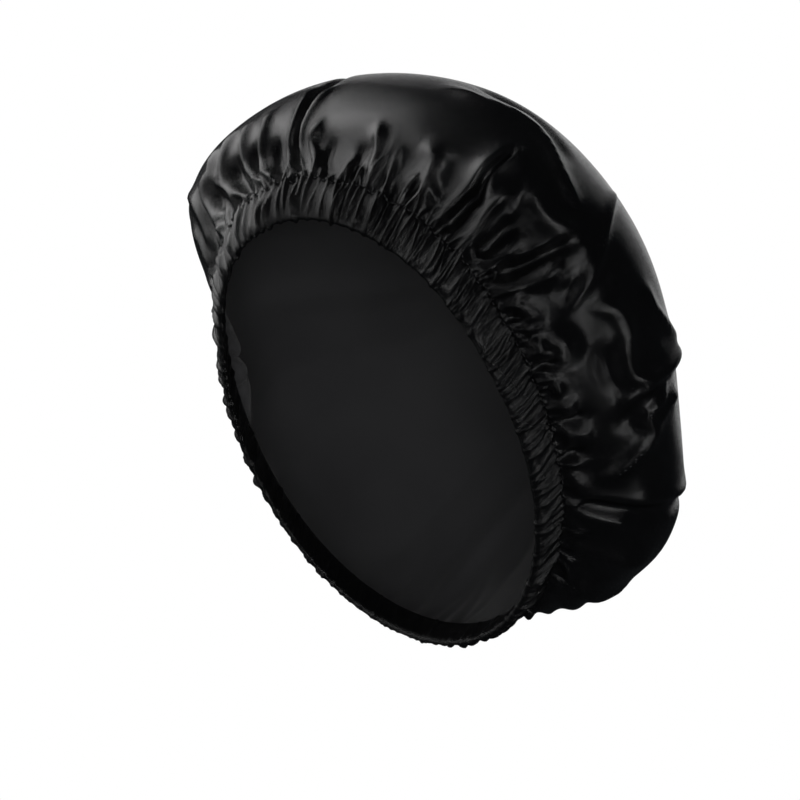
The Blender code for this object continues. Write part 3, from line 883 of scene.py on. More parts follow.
@dataclass
class Puckers:
    """The small puffs of cloth that stand up between the gathers, of chance places and sizes.

    Attributes:
        form: the form that they stand on.
        count: how many there are.
        first_angle, last_angle: where they start and end round the mouth, in degrees.
        reaches, half_widths, half_lengths, heights: ranges of their places and sizes.
        turn: how far they are turned from straight up.
        steepness: how steep their sides are.
        seed: seed of their chance places and sizes.
    """

    form: CrownForm
    count: int = 40
    first_angle: float = -180.0
    last_angle: float = 42.0
    reaches: tuple[float, float] = (0.015, 0.05)
    half_widths: tuple[float, float] = (2.6, 4.6)
    half_lengths: tuple[float, float] = (3.5, 6.5)
    heights: tuple[float, float] = (1.8, 3.4)
    turn: float = 0.5
    steepness: float = 1.6
    seed: int = 21
    puckers: list[Pucker] = field(init=False)

    def __post_init__(self) -> None:
        """Draw the puckers by lot."""
        chance = np.random.default_rng(self.seed)
        step = (self.last_angle - self.first_angle) / self.count
        self.puckers = [
            Pucker(
                around=math.radians(self.first_angle + step * (number + chance.uniform(0.1, 0.9))),
                reach=chance.uniform(*self.reaches),
                half_across=chance.uniform(*self.half_widths),
                half_along=chance.uniform(*self.half_lengths),
                height=chance.uniform(*self.heights),
                turn=chance.normal(0.0, self.turn),
            )
            for number in range(self.count)
        ]

    def rise(self, around: Array, reach: Array) -> Array:
        """Add up the puckers.

        Args:
            around: angles round the mouth, in radians.
            reach: places along the cloth.

        Returns:
            How far they lift the crown at each place, in millimetres.
        """
        radius = self.form.radius_at(reach)
        total = np.zeros_like(around)
        for pucker in self.puckers:
            sideways = turn_between(pucker.around, around) * radius
            upward = (reach - pucker.reach) * self.form.cloth_length
            across = sideways * math.cos(pucker.turn) + upward * math.sin(pucker.turn)
            along = upward * math.cos(pucker.turn) - sideways * math.sin(pucker.turn)
            off_centre = (across / pucker.half_across) ** 2 + (along / pucker.half_along) ** 2
            total += pucker.height * np.exp(-(off_centre**self.steepness))
        return total


class Thread(Enum):
    """The ways that two points of the cloth are tied, each with its hold in one pass."""

    ROUND = 1.0
    ALONG = 0.999
    BIAS = 0.25
    STEP = 0.5


class SheetRow(NamedTuple):
    """One row of a sheet of cloth: where it lies on the form, and on the flat cut."""

    reach: float
    flat_radius: float
    columns: int


@dataclass
class ClothSheet:
    """A ring or a round of cloth, laid out flat in rows.

    Attributes:
        reach: each point's place on the form, along the cloth.
        around: each point's angle round the mouth, in radians.
        flat: each point's place on the flat cut, in millimetres.
        ties: for each set of ties that share no point, the two ends, their length and hold.
        left, right, above, below: each point's neighbours, or -1 where there is none.
        faces: corners of each face, with -1 as the fourth corner of a triangle.
        starts: where each row starts among the points.
    """

    reach: Array
    around: Array
    flat: Array
    ties: list[tuple[Array, Array, Array, float]]
    left: Array
    right: Array
    above: Array
    below: Array
    faces: Array
    starts: Array

    @property
    def count(self) -> int:
        """Return how many points the cloth has."""
        return len(self.reach)

    def row(self, index: int) -> Array:
        """Return the points of one row."""
        return np.arange(self.starts[index], self.starts[index + 1])

    def cut_for(self, shape: Array, ease: Array) -> None:
        """Give the ties the lengths they have on a shape, with a little ease at each point."""
        for first, second, length, _ in self.ties:
            length[:] = np.linalg.norm(shape[first] - shape[second], axis=1) * ease[first]

    def normals(self, points: Array) -> Array:
        """Work out which way the cloth faces.

        Args:
            points: the cloth's points.

        Returns:
            Its normal at each point.
        """
        quads = self.faces[self.faces[:, 3] >= 0]
        corners = self.faces[self.faces[:, 3] < 0][:, :3]
        triangles = np.vstack((quads[:, (0, 1, 2)], quads[:, (0, 2, 3)], corners))
        first, second, third = (points[triangles[:, corner]] for corner in range(3))
        crossed = np.cross(second - first, third - first)
        total = np.zeros_like(points)
        for corner in range(3):
            for axis in range(3):
                total[:, axis] += np.bincount(triangles[:, corner], crossed[:, axis], self.count)
        return unit(total)


@dataclass
class SheetMaker:
    """Ties rows of cloth into one sheet.

    Attributes:
        rows: the rows, each with as many points as the one before, or half as many.
        closed_end: whether the last row closes on one point, as at the crown's middle.
        finest_at: the angle, in degrees, where the columns are closest together.
        crowding: how much closer they are there than on average.
    """

    rows: list[SheetRow]
    closed_end: bool
    finest_at: float = 55.0
    crowding: float = 0.4
    pairs: dict[tuple[Thread, int, int], list[Array]] = field(default_factory=dict)
    faces: list[Array] = field(default_factory=list)

    def angles(self, columns: int) -> Array:
        """Return the angles of a row's points, closest together at the finest place."""
        even = np.arange(columns) * 2.0 * math.pi / columns
        return even - self.crowding * np.sin(even - math.radians(self.finest_at))

    def tie(self, thread: Thread, slot: int, parity: int, first: Array, second: Array) -> None:
        """Add ties that share no point with the others of their slot and parity."""
        self.pairs.setdefault((thread, slot, parity), []).append(np.stack((first, second), 1))

    def add_faces(self, *corners: Array) -> None:
        """Add a strip of faces with three or four corners."""
        blank = np.full(len(corners[0]), -1)
        self.faces.append(np.stack((*corners, blank)[:4], 1))

    def join(self, lower: Array, upper: Array, parity: int) -> tuple[Array, Array]:
        """Tie one row to the next.

        Args:
            lower: the points of the row.
            upper: the points of the next, as many or half as many.
            parity: 0 for an even row, 1 for an odd one.

        Returns:
            The points of both rows that lie straight above each other.
        """
        after, upper_after = np.roll(lower, -1), np.roll(upper, -1)
        if len(lower) == len(upper):
            self.tie(Thread.ALONG, 0, parity, lower, upper)
            self.tie(Thread.BIAS, 0, parity, lower, upper_after)
            self.tie(Thread.BIAS, 1, parity, after, upper)
            self.add_faces(lower, after, upper_after, upper)
            return lower, upper
        even, odd, next_even = lower[::2], lower[1::2], after[1::2]
        self.tie(Thread.ALONG, 0, parity, even, upper)
        self.tie(Thread.STEP, 0, parity, odd, upper)
        self.tie(Thread.STEP, 1, parity, odd, upper_after)
        self.add_faces(even, odd, upper)
        self.add_faces(odd, upper_after, upper)
        self.add_faces(odd, next_even, upper_after)
        return even, upper

    def build(self) -> ClothSheet:
        """Lay out the rows and tie them.

        Returns:
            The sheet.
        """
        counts = [row.columns for row in self.rows]
        starts = np.concatenate(([0], np.cumsum(counts)))
        count = int(starts[-1]) + int(self.closed_end)
        reach = np.ones(count)
        around, radius = np.zeros(count), np.zeros(count)
        neighbours = np.tile(np.arange(count), (2, 1))
        above, below = np.full(count, -1), np.full(count, -1)
        for index, row in enumerate(self.rows):
            here = starts[index] + np.arange(row.columns)
            after = np.roll(here, -1)
            reach[here], radius[here] = row.reach, row.flat_radius
            around[here] = self.angles(row.columns)
            neighbours[1, here], neighbours[0, after] = after, here
            self.tie(Thread.ROUND, 0, 0, here[0::2], after[0::2])
            self.tie(Thread.ROUND, 0, 1, here[1::2], after[1::2])
            if index + 1 < len(self.rows):
                upper = starts[index + 1] + np.arange(self.rows[index + 1].columns)
                lower_ends, upper_ends = self.join(here, upper, index % 2)
                above[lower_ends], below[upper_ends] = upper_ends, lower_ends
            elif self.closed_end:
                self.add_faces(here, after, np.full(row.columns, count - 1))
        flat = np.stack((radius * np.cos(around), radius * np.sin(around)), axis=1)
        ties = []
        for (thread, _, _), pairs in self.pairs.items():
            first, second = np.vstack(pairs).T.copy()
            ties.append((first, second, np.zeros(len(first)), thread.value))
        faces = np.vstack(self.faces)
        return ClothSheet(reach, around, flat, ties, *neighbours, above, below, faces, starts)


@dataclass
class Draper:
    """Relaxes a cloth that lies on a form, so that its folds round off and its ease buckles.

    Each pass pulls every tie towards its length, straightens sharp bends a little, and draws the
    cloth back towards the form.

    Attributes:
        passes: how many times the whole cloth is gone over.
        stiffness: how strongly bends round the mouth are straightened.
        stiffness_along: the same along the cloth, from the stitches to the middle.
        slip: how strongly points are kept from sliding over the form.
        firm: the hold below which a tie is only pulled in every other pass.
    """

    passes: int = 60
    stiffness: float = 0.05
    stiffness_along: float = 0.05
    slip: float = 0.004
    firm: float = 0.9

    def bend(self, points: Array, sheet: ClothSheet, inner: Array) -> tuple[Array, Array]:
        """Work out how sharp bends are straightened.

        Args:
            points: the cloth's points.
            sheet: the cloth.
            inner: the points with a neighbour above and below.

        Returns:
            How far each point moves, for bends round the mouth and for bends along the cloth.
        """
        curl = points - 0.5 * (points[sheet.left] + points[sheet.right])
        round_move = curl - 0.5 * (curl[sheet.left] + curl[sheet.right])
        above, below = sheet.above[inner], sheet.below[inner]
        curl = np.zeros_like(points)
        curl[inner] = points[inner] - 0.5 * (points[above] + points[below])
        along_move = curl.copy()
        along_move[inner] -= 0.5 * (curl[above] + curl[below])
        return round_move, along_move

    def relax(self, sheet: ClothSheet, start: Array, target: Drape) -> Array:
        """Let the cloth settle.

        Args:
            sheet: the cloth.
            start: where the points start, in millimetres.
            target: what the cloth settles on.

        Returns:
            The cloth's points once it has settled.
        """
        points = start.copy()
        free, hold = target.free[:, None], target.hold[:, None]
        inner = np.flatnonzero((sheet.above >= 0) & (sheet.below >= 0))
        last_row = sheet.row(len(sheet.starts) - 2)
        closed = sheet.count > sheet.starts[-1]
        dome = target.form[-1] - target.form[last_row].mean(axis=0)
        for index in range(self.passes):
            for first, second, length, grip in sheet.ties:
                if grip < self.firm and index % 2:
                    continue
                gap = points[second] - points[first]
                span = np.sqrt((gap * gap).sum(axis=1))
                pull = (0.5 * grip * (span - length) / np.maximum(span, 1e-9))[:, None] * gap
                points[first] += pull * free[first]
                points[second] -= pull * free[second]
            if closed:
                points[-1] = points[last_row].mean(axis=0) + dome
            round_move, along_move = self.bend(points, sheet, inner)
            points -= (self.stiffness * round_move + self.stiffness_along * along_move) * free
            away = points - target.form
            out = (away * target.facing).sum(axis=1, keepdims=True) * target.facing
            points -= (hold * out + self.slip * (away - out)) * free
        return points


@dataclass
class Drape:
    """What a cloth settles on.

    Attributes:
        form: the point of the form that each point of the cloth belongs to, in millimetres.
        facing: the form's outward normal there.
        hold: share of its way back to the form that a point goes in each pass.
        free: 1 for a point that moves, 0 for one that is sewn down.
    """

    form: Array
    facing: Array
    hold: Array
    free: Array


def outward(sheet: ClothSheet, points: Array, middle: Array) -> Array:
    """Work out which way a cloth faces, away from a place inside it.

    Args:
        sheet: the cloth.
        points: its points.
        middle: the place inside it.

    Returns:
        Its outward normal at each point.
    """
    normals = sheet.normals(points)
    if ((points - middle) * normals).sum() < 0.0:
        return -normals
    return normals


@dataclass
class ClothMesh:
    """Turns a relaxed cloth into a mesh with a UV map of its flat cut."""

    name: str
    sheet: ClothSheet
    points: Array
    middle: Array

    def corner_lists(self) -> list[list[int]]:
        """List the corners of each face in the order that faces it outwards.

        Returns:
            Three or four points for each face.
        """
        normals = self.sheet.normals(self.points)
        inside_out = ((self.points - self.middle) * normals).sum() < 0.0
        lists = []
        for face in self.sheet.faces.tolist():
            corners = face if face[3] >= 0 else face[:3]
            lists.append(corners[::-1] if inside_out else corners)
        return lists

    def shell(self, thickness: float) -> bpy.types.Object:
        """Return the cloth as a closed shell: its face, its reverse, and the edge between.

        Args:
            thickness: how thick the cloth is, in millimetres.

        Returns:
            The new object. Faces of the reverse use its second material.
        """
        count = self.sheet.count
        normals = outward(self.sheet, self.points, self.middle)
        points = np.vstack((self.points, self.points - normals * thickness))
        front = self.corner_lists()
        back = [[corner + count for corner in reversed(corners)] for corners in front]
        edge = self.sheet.row(0)
        after = np.roll(edge, -1)
        rim = np.stack((edge, edge + count, after + count, after), 1).tolist()
        if front[0][:2] != [edge[0], after[0]]:
            rim = [corners[::-1] for corners in rim]
        flat = np.vstack((self.sheet.flat, self.sheet.flat))
        thing = self.make(points, front + back + rim, flat)
        reverse = np.zeros(len(thing.data.polygons), dtype=np.int32)
        reverse[len(front) : len(front) + len(back)] = 1
        thing.data.polygons.foreach_set("material_index", reverse)
        return thing

    def tube(self) -> bpy.types.Object:
        """Join the cloth's last row to its first, as in a folded hem.

        Returns:
            The new object.
        """
        first, last = self.sheet.row(0), self.sheet.row(len(self.sheet.starts) - 2)
        corners = self.corner_lists()
        strip = np.stack((last, np.roll(last, -1), np.roll(first, -1), first), 1).tolist()
        if corners[0][:2] != [first[0], np.roll(first, -1)[0]]:
            strip = [face[::-1] for face in strip]
        return self.make(self.points, corners + strip, self.sheet.flat)

    def make(self, points: Array, faces: list[list[int]], flat: Array) -> bpy.types.Object:
        """Make a smooth mesh with the flat cut as its UV map.

        Args:
            points: its points, in millimetres.
            faces: the corners of each face.
            flat: each point's place on the flat cut, in millimetres.

        Returns:
            The new object, in the scene.
        """
        mesh = bpy.data.meshes.new(self.name)
        mesh.from_pydata((points * MM).tolist(), [], faces)
        corners = np.empty(len(mesh.loops), dtype=np.int32)
        mesh.loops.foreach_get("vertex_index", corners)
        layer = mesh.uv_layers.new(name=CUT_MAP)
        layer.data.foreach_set("uv", (flat[corners] * MM).ravel())
        mesh.shade_smooth()
        mesh.validate()
        mesh.update()
        thing = bpy.data.objects.new(self.name, mesh)
        bpy.context.scene.collection.objects.link(thing)
        return thing


class Socket(NamedTuple):
    """A socket of a node group: its name, kind and default value."""

    name: str
    kind: str
    value: float | tuple[float, ...]


@dataclass
class NodeBuilder:
    """Adds nodes to a tree and links them by socket name."""

    tree: bpy.types.NodeTree
    column: int = 0

    def add(
        self, kind: str, label: str, inputs: dict[str | int, object] | None = None, **settings: object
    ) -> bpy.types.Node:
        """Add a node.

        Args:
            kind: the node's type.
            label: what it is for.
            inputs: for each of its inputs that is set, a value, or an output to link it to.
            settings: its settings.

        Returns:
            The new node.
        """
        node = self.tree.nodes.new(kind)
        node.label = label
        node.location = (self.column * 200, 0)
        self.column += 1
        for name, value in settings.items():
            setattr(node, name, value)
        for socket, value in (inputs or {}).items():
            self.feed(node.inputs[socket], value)
        return node

    def feed(self, socket: bpy.types.NodeSocket, value: object) -> None:
        """Link an input, or give it a value.

        Args:
            socket: the input.
            value: an output to link it to, or its value.
        """
        if isinstance(value, bpy.types.NodeSocket):
            self.tree.links.new(value, socket)
        else:
            socket.default_value = value

    def math(self, operation: str, label: str, *values: object) -> bpy.types.NodeSocket:
        """Return the result of a sum on numbers or outputs."""
        return self.add("ShaderNodeMath", label, dict(enumerate(values)), operation=operation).outputs[0]


def make_group(name: str, inputs: tuple[Socket, ...], outputs: tuple[Socket, ...]) -> NodeBuilder:
    """Start a shader node group with named sockets.

    Args:
        name: the group's name.
        inputs: its input sockets.
        outputs: its output sockets.

    Returns:
        A builder for its nodes.
    """
    group = bpy.data.node_groups.new(name, "ShaderNodeTree")
    for sockets, direction in ((inputs, "INPUT"), (outputs, "OUTPUT")):
        for socket in sockets:
            made = group.interface.new_socket(
                name=socket.name, in_out=direction, socket_type=f"NodeSocket{socket.kind}"
            )
            if direction == "INPUT" and socket.kind != "Vector":
                made.default_value = socket.value
    return NodeBuilder(group)


@dataclass(frozen=True)
class SatinWeave:
    """The weave of satin: long floats side by side, tied down by every fifth thread.

    Attributes:
        name: the node group's name.
        repeat: after how many threads a float is tied down again.
        step: how many threads further on the next float is tied down.
        slub_scale: how often the threads' unevenness changes across, along and out of the cloth.
    """

    name: str = "satin weave"
    repeat: float = 5.0
    step: float = 2.0
    slub_scale: tuple[float, float, float] = (1100.0, 70.0, 1.0)

    def build(self) -> bpy.types.NodeTree:
        """Make the node group of the weave.

        Returns:
            The group, which gives the height of the threads.
        """
        inputs = (
            Socket("Cut", "Vector", (0.0, 0.0, 0.0)),
            Socket("Threads per metre", "Float", 5200.0),
            Socket("Slub", "Float", 0.5),
        )
        nodes = make_group(self.name, inputs, (Socket("Height", "Float", 0.0),))
        entry = nodes.add("NodeGroupInput", "in")
        cut, pitch = entry.outputs["Cut"], entry.outputs["Threads per metre"]
        apart = nodes.add("ShaderNodeSeparateXYZ", "across and along", {0: cut})
        warp = nodes.math("MULTIPLY", "warp threads", apart.outputs["X"], pitch)
        weft = nodes.math("MULTIPLY", "weft threads", apart.outputs["Y"], pitch)
        wave = nodes.math("SINE", "threads", nodes.math("MULTIPLY", "half turns", warp, math.pi))
        warp_round = nodes.math("ABSOLUTE", "thread's middle", wave)
        number = nodes.math("FLOOR", "warp number", warp)
        crossing = nodes.math("MULTIPLY_ADD", "where it is tied", number, self.step, weft)
        repeats = nodes.math("DIVIDE", "repeats", crossing, self.repeat)
        place = nodes.math("FRACT", "place in float", repeats)
        tied = nodes.math("LESS_THAN", "tied down", place, 1.0 / self.repeat)
        on_top = nodes.math("SUBTRACT", "float", 1.0, tied)
        drawn = {0: cut, 1: self.slub_scale}
        stretch = nodes.add("ShaderNodeVectorMath", "drawn out along the warp", drawn, operation="MULTIPLY")
        noise = {"Detail": 3.0, "Scale": 1.0, "Vector": stretch.outputs[0]}
        slub = nodes.add("ShaderNodeTexNoise", "uneven threads", noise)
        uneven = nodes.math("MULTIPLY", "slub", slub.outputs["Fac"], entry.outputs["Slub"])
        raised = nodes.math("MULTIPLY_ADD", "threads", warp_round, on_top, uneven)
        nodes.add("NodeGroupOutput", "out", {"Height": raised})
        return nodes.tree


@dataclass(frozen=True)
class ClothLie:
    """How handled cloth lies: faint creases and patches that have lost or gained some shine."""

    name: str = "lie of the cloth"

    def build(self) -> bpy.types.NodeTree:
        """Make the node group of how the cloth lies.

        Returns:
            The group, which gives a crease height, a shine mask and a colour.
        """
        inputs = (
            Socket("Place", "Vector", (0.0, 0.0, 0.0)),
            Socket("Crease size", "Float", 45.0),
            Socket("Patch size", "Float", 14.0),
            Socket("Dark", "Color", (0.004, 0.004, 0.005, 1.0)),
            Socket("Light", "Color", (0.012, 0.012, 0.013, 1.0)),
        )
        outputs = (
            Socket("Crease", "Float", 0.0),
            Socket("Shine", "Float", 0.0),
            Socket("Color", "Color", 0.0),
        )
        nodes = make_group(self.name, inputs, outputs)
        given = nodes.add("NodeGroupInput", "in").outputs
        creased = {"Vector": given["Place"], "Scale": given["Crease size"], "Detail": 4.0, "Distortion": 0.6}
        crease = nodes.add("ShaderNodeTexNoise", "creases", creased)
        patched = {"Vector": given["Place"], "Scale": given["Patch size"], "Detail": 2.0}
        patch = nodes.add("ShaderNodeTexNoise", "patches", patched)
        shades = {"Factor": patch.outputs["Fac"], "A": given["Dark"], "B": given["Light"]}
        blend = nodes.add("ShaderNodeMix", "shade of black", shades, data_type="RGBA")
        results = {
            "Crease": crease.outputs["Fac"],
            "Shine": patch.outputs["Fac"],
            "Color": blend.outputs["Result"],
        }
        nodes.add("NodeGroupOutput", "out", results)
        return nodes.tree


class Face(Enum):
    """Which side of the satin a finish is for."""

    SHINY = "satin face"
    REVERSE = "satin reverse"
    CASING = "gathered satin"
    THREAD = "sewing thread"


@dataclass(frozen=True)
class SatinFinish:
    """The finish of one side of the satin, or of a part made of it.

    Attributes:
        face: which side it is.
        dark, light: the two shades of black that the dye varies between.
        smoothest, roughest: range of the roughness.
        specular: strength of the highlights.
        anisotropy: how far highlights are drawn out across the floats.
        sheen: weight of the soft glow at grazing angles.
        weave_depth, crease_depth: height of the threads and of the faint creases, in metres.
        across: the turn that draws the highlights out across the floats, as a share of a circle.
        sheen_roughness: how widely the soft glow spreads.
        smooth_patch, rough_patch: the patches' mask where the cloth is smoothest and roughest.
    """

    face: Face
    dark: tuple[float, float, float, float]
    light: tuple[float, float, float, float]
    smoothest: float
    roughest: float
    specular: float
    anisotropy: float
    sheen: float
    weave_depth: float
    crease_depth: float
    across: float = 0.25
    sheen_roughness: float = 0.4
    smooth_patch: float = 0.35
    rough_patch: float = 0.65

    def build(self, weave: bpy.types.NodeTree, lie: bpy.types.NodeTree) -> bpy.types.Material:
        """Make the material.

        Args:
            weave: the node group of the weave.
            lie: the node group of how the cloth lies.

        Returns:
            The new material.
        """
        material = bpy.data.materials.new(self.face.value)
        material.use_nodes = True
        nodes = NodeBuilder(material.node_tree)
        shader = material.node_tree.nodes["Principled BSDF"]
        shader.inputs["Specular IOR Level"].default_value = self.specular
        shader.inputs["Anisotropic"].default_value = self.anisotropy
        shader.inputs["Anisotropic Rotation"].default_value = self.across
        shader.inputs["Sheen Weight"].default_value = self.sheen
        shader.inputs["Sheen Roughness"].default_value = self.sheen_roughness
        cut = nodes.add("ShaderNodeUVMap", "flat cut", uv_map=CUT_MAP)
        place = nodes.add("ShaderNodeTexCoord", "place")
        threads = nodes.add("ShaderNodeGroup", "weave", node_tree=weave)
        nodes.feed(threads.inputs["Cut"], cut.outputs["UV"])
        lying = nodes.add("ShaderNodeGroup", "lie", node_tree=lie)
        nodes.feed(lying.inputs["Place"], place.outputs["Object"])
        nodes.feed(lying.inputs["Dark"], self.dark)
        nodes.feed(lying.inputs["Light"], self.light)
        nodes.feed(shader.inputs["Base Color"], lying.outputs["Color"])
        roughness = {
            "Value": lying.outputs["Shine"],
            "From Min": self.smooth_patch,
            "From Max": self.rough_patch,
            "To Min": self.smoothest,
            "To Max": self.roughest,
        }
        rough = nodes.add("ShaderNodeMapRange", "roughness", roughness)
        nodes.feed(shader.inputs["Roughness"], rough.outputs["Result"])
        creased = {"Distance": self.crease_depth, "Height": lying.outputs["Crease"]}
        creases = nodes.add("ShaderNodeBump", "creases", creased)
        woven = {
            "Distance": self.weave_depth,
            "Height": threads.outputs["Height"],
            "Normal": creases.outputs["Normal"],
        }
        weave_bump = nodes.add("ShaderNodeBump", "threads", woven)
        nodes.feed(shader.inputs["Normal"], weave_bump.outputs["Normal"])
        if self.anisotropy > 0.0:
            tangent = nodes.add("ShaderNodeTangent", "warp", direction_type="UV_MAP", uv_map=CUT_MAP)
            nodes.feed(shader.inputs["Tangent"], tangent.outputs["Tangent"])
        return material


BLACK = (0.0006, 0.0006, 0.0007, 1.0)
WORN_BLACK = (0.0016, 0.0016, 0.0018, 1.0)
DULL_BLACK = (0.014, 0.014, 0.015, 1.0)
DULL_GREY = (0.026, 0.026, 0.027, 1.0)

FINISHES = (
    SatinFinish(
        face=Face.SHINY, dark=BLACK, light=WORN_BLACK, smoothest=0.21, roughest=0.27,
        specular=0.5, anisotropy=0.7, sheen=0.0, weave_depth=0.00002, crease_depth=0.00008,
    ),
    SatinFinish(
        face=Face.REVERSE, dark=DULL_BLACK, light=DULL_GREY, smoothest=0.55, roughest=0.66,
        specular=0.3, anisotropy=0.0, sheen=0.05, weave_depth=0.00003, crease_depth=0.0003,
    ),
    SatinFinish(
        face=Face.CASING, dark=BLACK, light=WORN_BLACK, smoothest=0.22, roughest=0.29,
        specular=0.5, anisotropy=0.7, sheen=0.0, weave_depth=0.00003, crease_depth=0.0001,
    ),
    SatinFinish(
        face=Face.THREAD, dark=DULL_BLACK, light=DULL_GREY, smoothest=0.5, roughest=0.6,
        specular=0.4, anisotropy=0.0, sheen=0.1, weave_depth=0.00002, crease_depth=0.0001,
    ),
)


@dataclass
class Crown:
    """The crown: the round of satin past the stitches, gathered and puffed out.

    Attributes:
        form: the form it settles on.
        lines: the lines of its main folds.
        gathers, puckers: the chance folds beside the stitches.
        thickness: how thick the satin is, in millimetres.
        seam_ease, seam_hold: spare cloth beside the stitches, and how firmly it keeps its form.
        ease, hold: the same over the rest of the crown.
        eased_reach: the reach over which the first pair gives way to the second.
        turned_reach: the reach over which the gathers turn from standing off the elastic to
            standing off the crown.
        seam_share, crease_run: how high a crease stands at the stitches, for its height further
            on, and the length of cloth over which it gets there, in millimetres.
        tallest: the height that folds lying over each other do not pass.
        elastic_lean: how far the gathers lean towards the mouth where they stand off the elastic.
    """

    form: CrownForm
    lines: list[FoldLine]
    gathers: Gathers
    puckers: Puckers
    thickness: float = 0.35
    seam_ease: float = 1.01
    seam_hold: float = 0.10
    ease: float = 1.0
    hold: float = 0.12
    eased_reach: float = 0.08
    turned_reach: float = 0.06
    seam_share: float = 0.3
    crease_run: float = 14.0
    tallest: float = 8.0
    elastic_lean: float = 0.5
    sheet: ClothSheet = field(init=False)
    points: Array = field(init=False)

    @property
    def middle(self) -> Array:
        """Return a place inside the crown, in millimetres."""
        return self.form.inward * self.form.middle_depth

    @property
    def flat_area(self) -> float:
        """Return the area of the flat round, from seam to seam, in square metres."""
        return math.pi * (self.form.cloth_length * MM) ** 2

    def rows(self) -> list[SheetRow]:
        """Space the rows of the cloth, finer at the stitches and coarser at the middle.

        Returns:
            The rows, from the stitches to the middle.
        """
        rows = []
        reach = 0.0
        for band in ROW_BANDS:
            while reach < band.last_reach:
                rows.append(SheetRow(reach, self.form.cloth_length * (1.0 - reach), band.columns))
                reach += band.row_height / self.form.cloth_length
        return rows

    def fold_heights(self, around: Array, reach: Array) -> Array:
        """Return how far all the folds together lift the cloth at each place."""
        total = self.gathers.rise(around, reach) + self.loose_heights(around, reach)
        return self.tallest * np.tanh(total / self.tallest)

    def loose_heights(self, around: Array, reach: Array) -> Array:
        """Add up the creases and puckers, which are lower beside the stitches.

        Args:
            around: angles round the mouth, in radians.
            reach: places along the cloth.

        Returns:
            How far they lift the cloth at each place, in millimetres.
        """
        radius = self.form.radius_at(reach)
        total = sum(line.heights(around, reach, radius) for line in self.lines)
        total = total + self.puckers.rise(around, reach)
        risen = smooth_step(reach * self.form.cloth_length / self.crease_run)
        return total * (self.seam_share + (1.0 - self.seam_share) * risen)

    def drape(self) -> None:
        """Lay the cloth over its folds and relax it."""
        sheet = SheetMaker(self.rows(), closed_end=True).build()
        plain = self.form.points(sheet.around, sheet.reach)
        facing = outward(sheet, plain, self.middle)
        sideways = self.form.sideways_at(sheet.around)
        off_elastic = unit(sideways - self.elastic_lean * self.form.inward)
        turned = smooth_step(sheet.reach / self.turned_reach)[:, None]
        facing = unit(off_elastic * (1.0 - turned) + facing * turned)
        folded = plain + self.fold_heights(sheet.around, sheet.reach)[:, None] * facing
        eased = 1.0 - smooth_step(sheet.reach / self.eased_reach)
        sheet.cut_for(folded, self.ease + (self.seam_ease - self.ease) * eased)
        hold = self.hold + (self.seam_hold - self.hold) * eased
        free = np.ones(sheet.count)
        free[sheet.row(0)] = 0.0
        draper = Draper()
        self.sheet = sheet
        self.points = draper.relax(sheet, folded, Drape(folded, facing, hold, free))
        log.info("crown: %d points relaxed in %d passes", sheet.count, draper.passes)

    def build(self) -> bpy.types.Object:
        """Return the crown's mesh."""
        return ClothMesh("crown_satin", self.sheet, self.points, self.middle).shell(self.thickness)


class HemPoint(NamedTuple):
    """A point of the casing's section: its depth past the mouth, and how far out it stands."""

    depth: float
    out: float


# The section of the casing, from the stitches over the folded edge and back inside to them.
CASING_SECTION = (
    HemPoint(17.8, 0.6),
    HemPoint(16.6, 1.0),
    HemPoint(14.6, 1.5),
    HemPoint(11.5, 1.9),
    HemPoint(8.5, 1.9),
    HemPoint(5.5, 1.6),
    HemPoint(3.0, 1.0),
    HemPoint(1.2, 0.3),
    HemPoint(0.2, -0.4),
    HemPoint(0.0, -1.0),
    HemPoint(0.3, -1.6),
    HemPoint(1.4, -2.1),
    HemPoint(3.4, -2.2),
    HemPoint(6.0, -1.7),
    HemPoint(9.0, -1.3),
    HemPoint(12.5, -1.1),
    HemPoint(15.5, -0.9),
    HemPoint(17.4, -0.7),
)


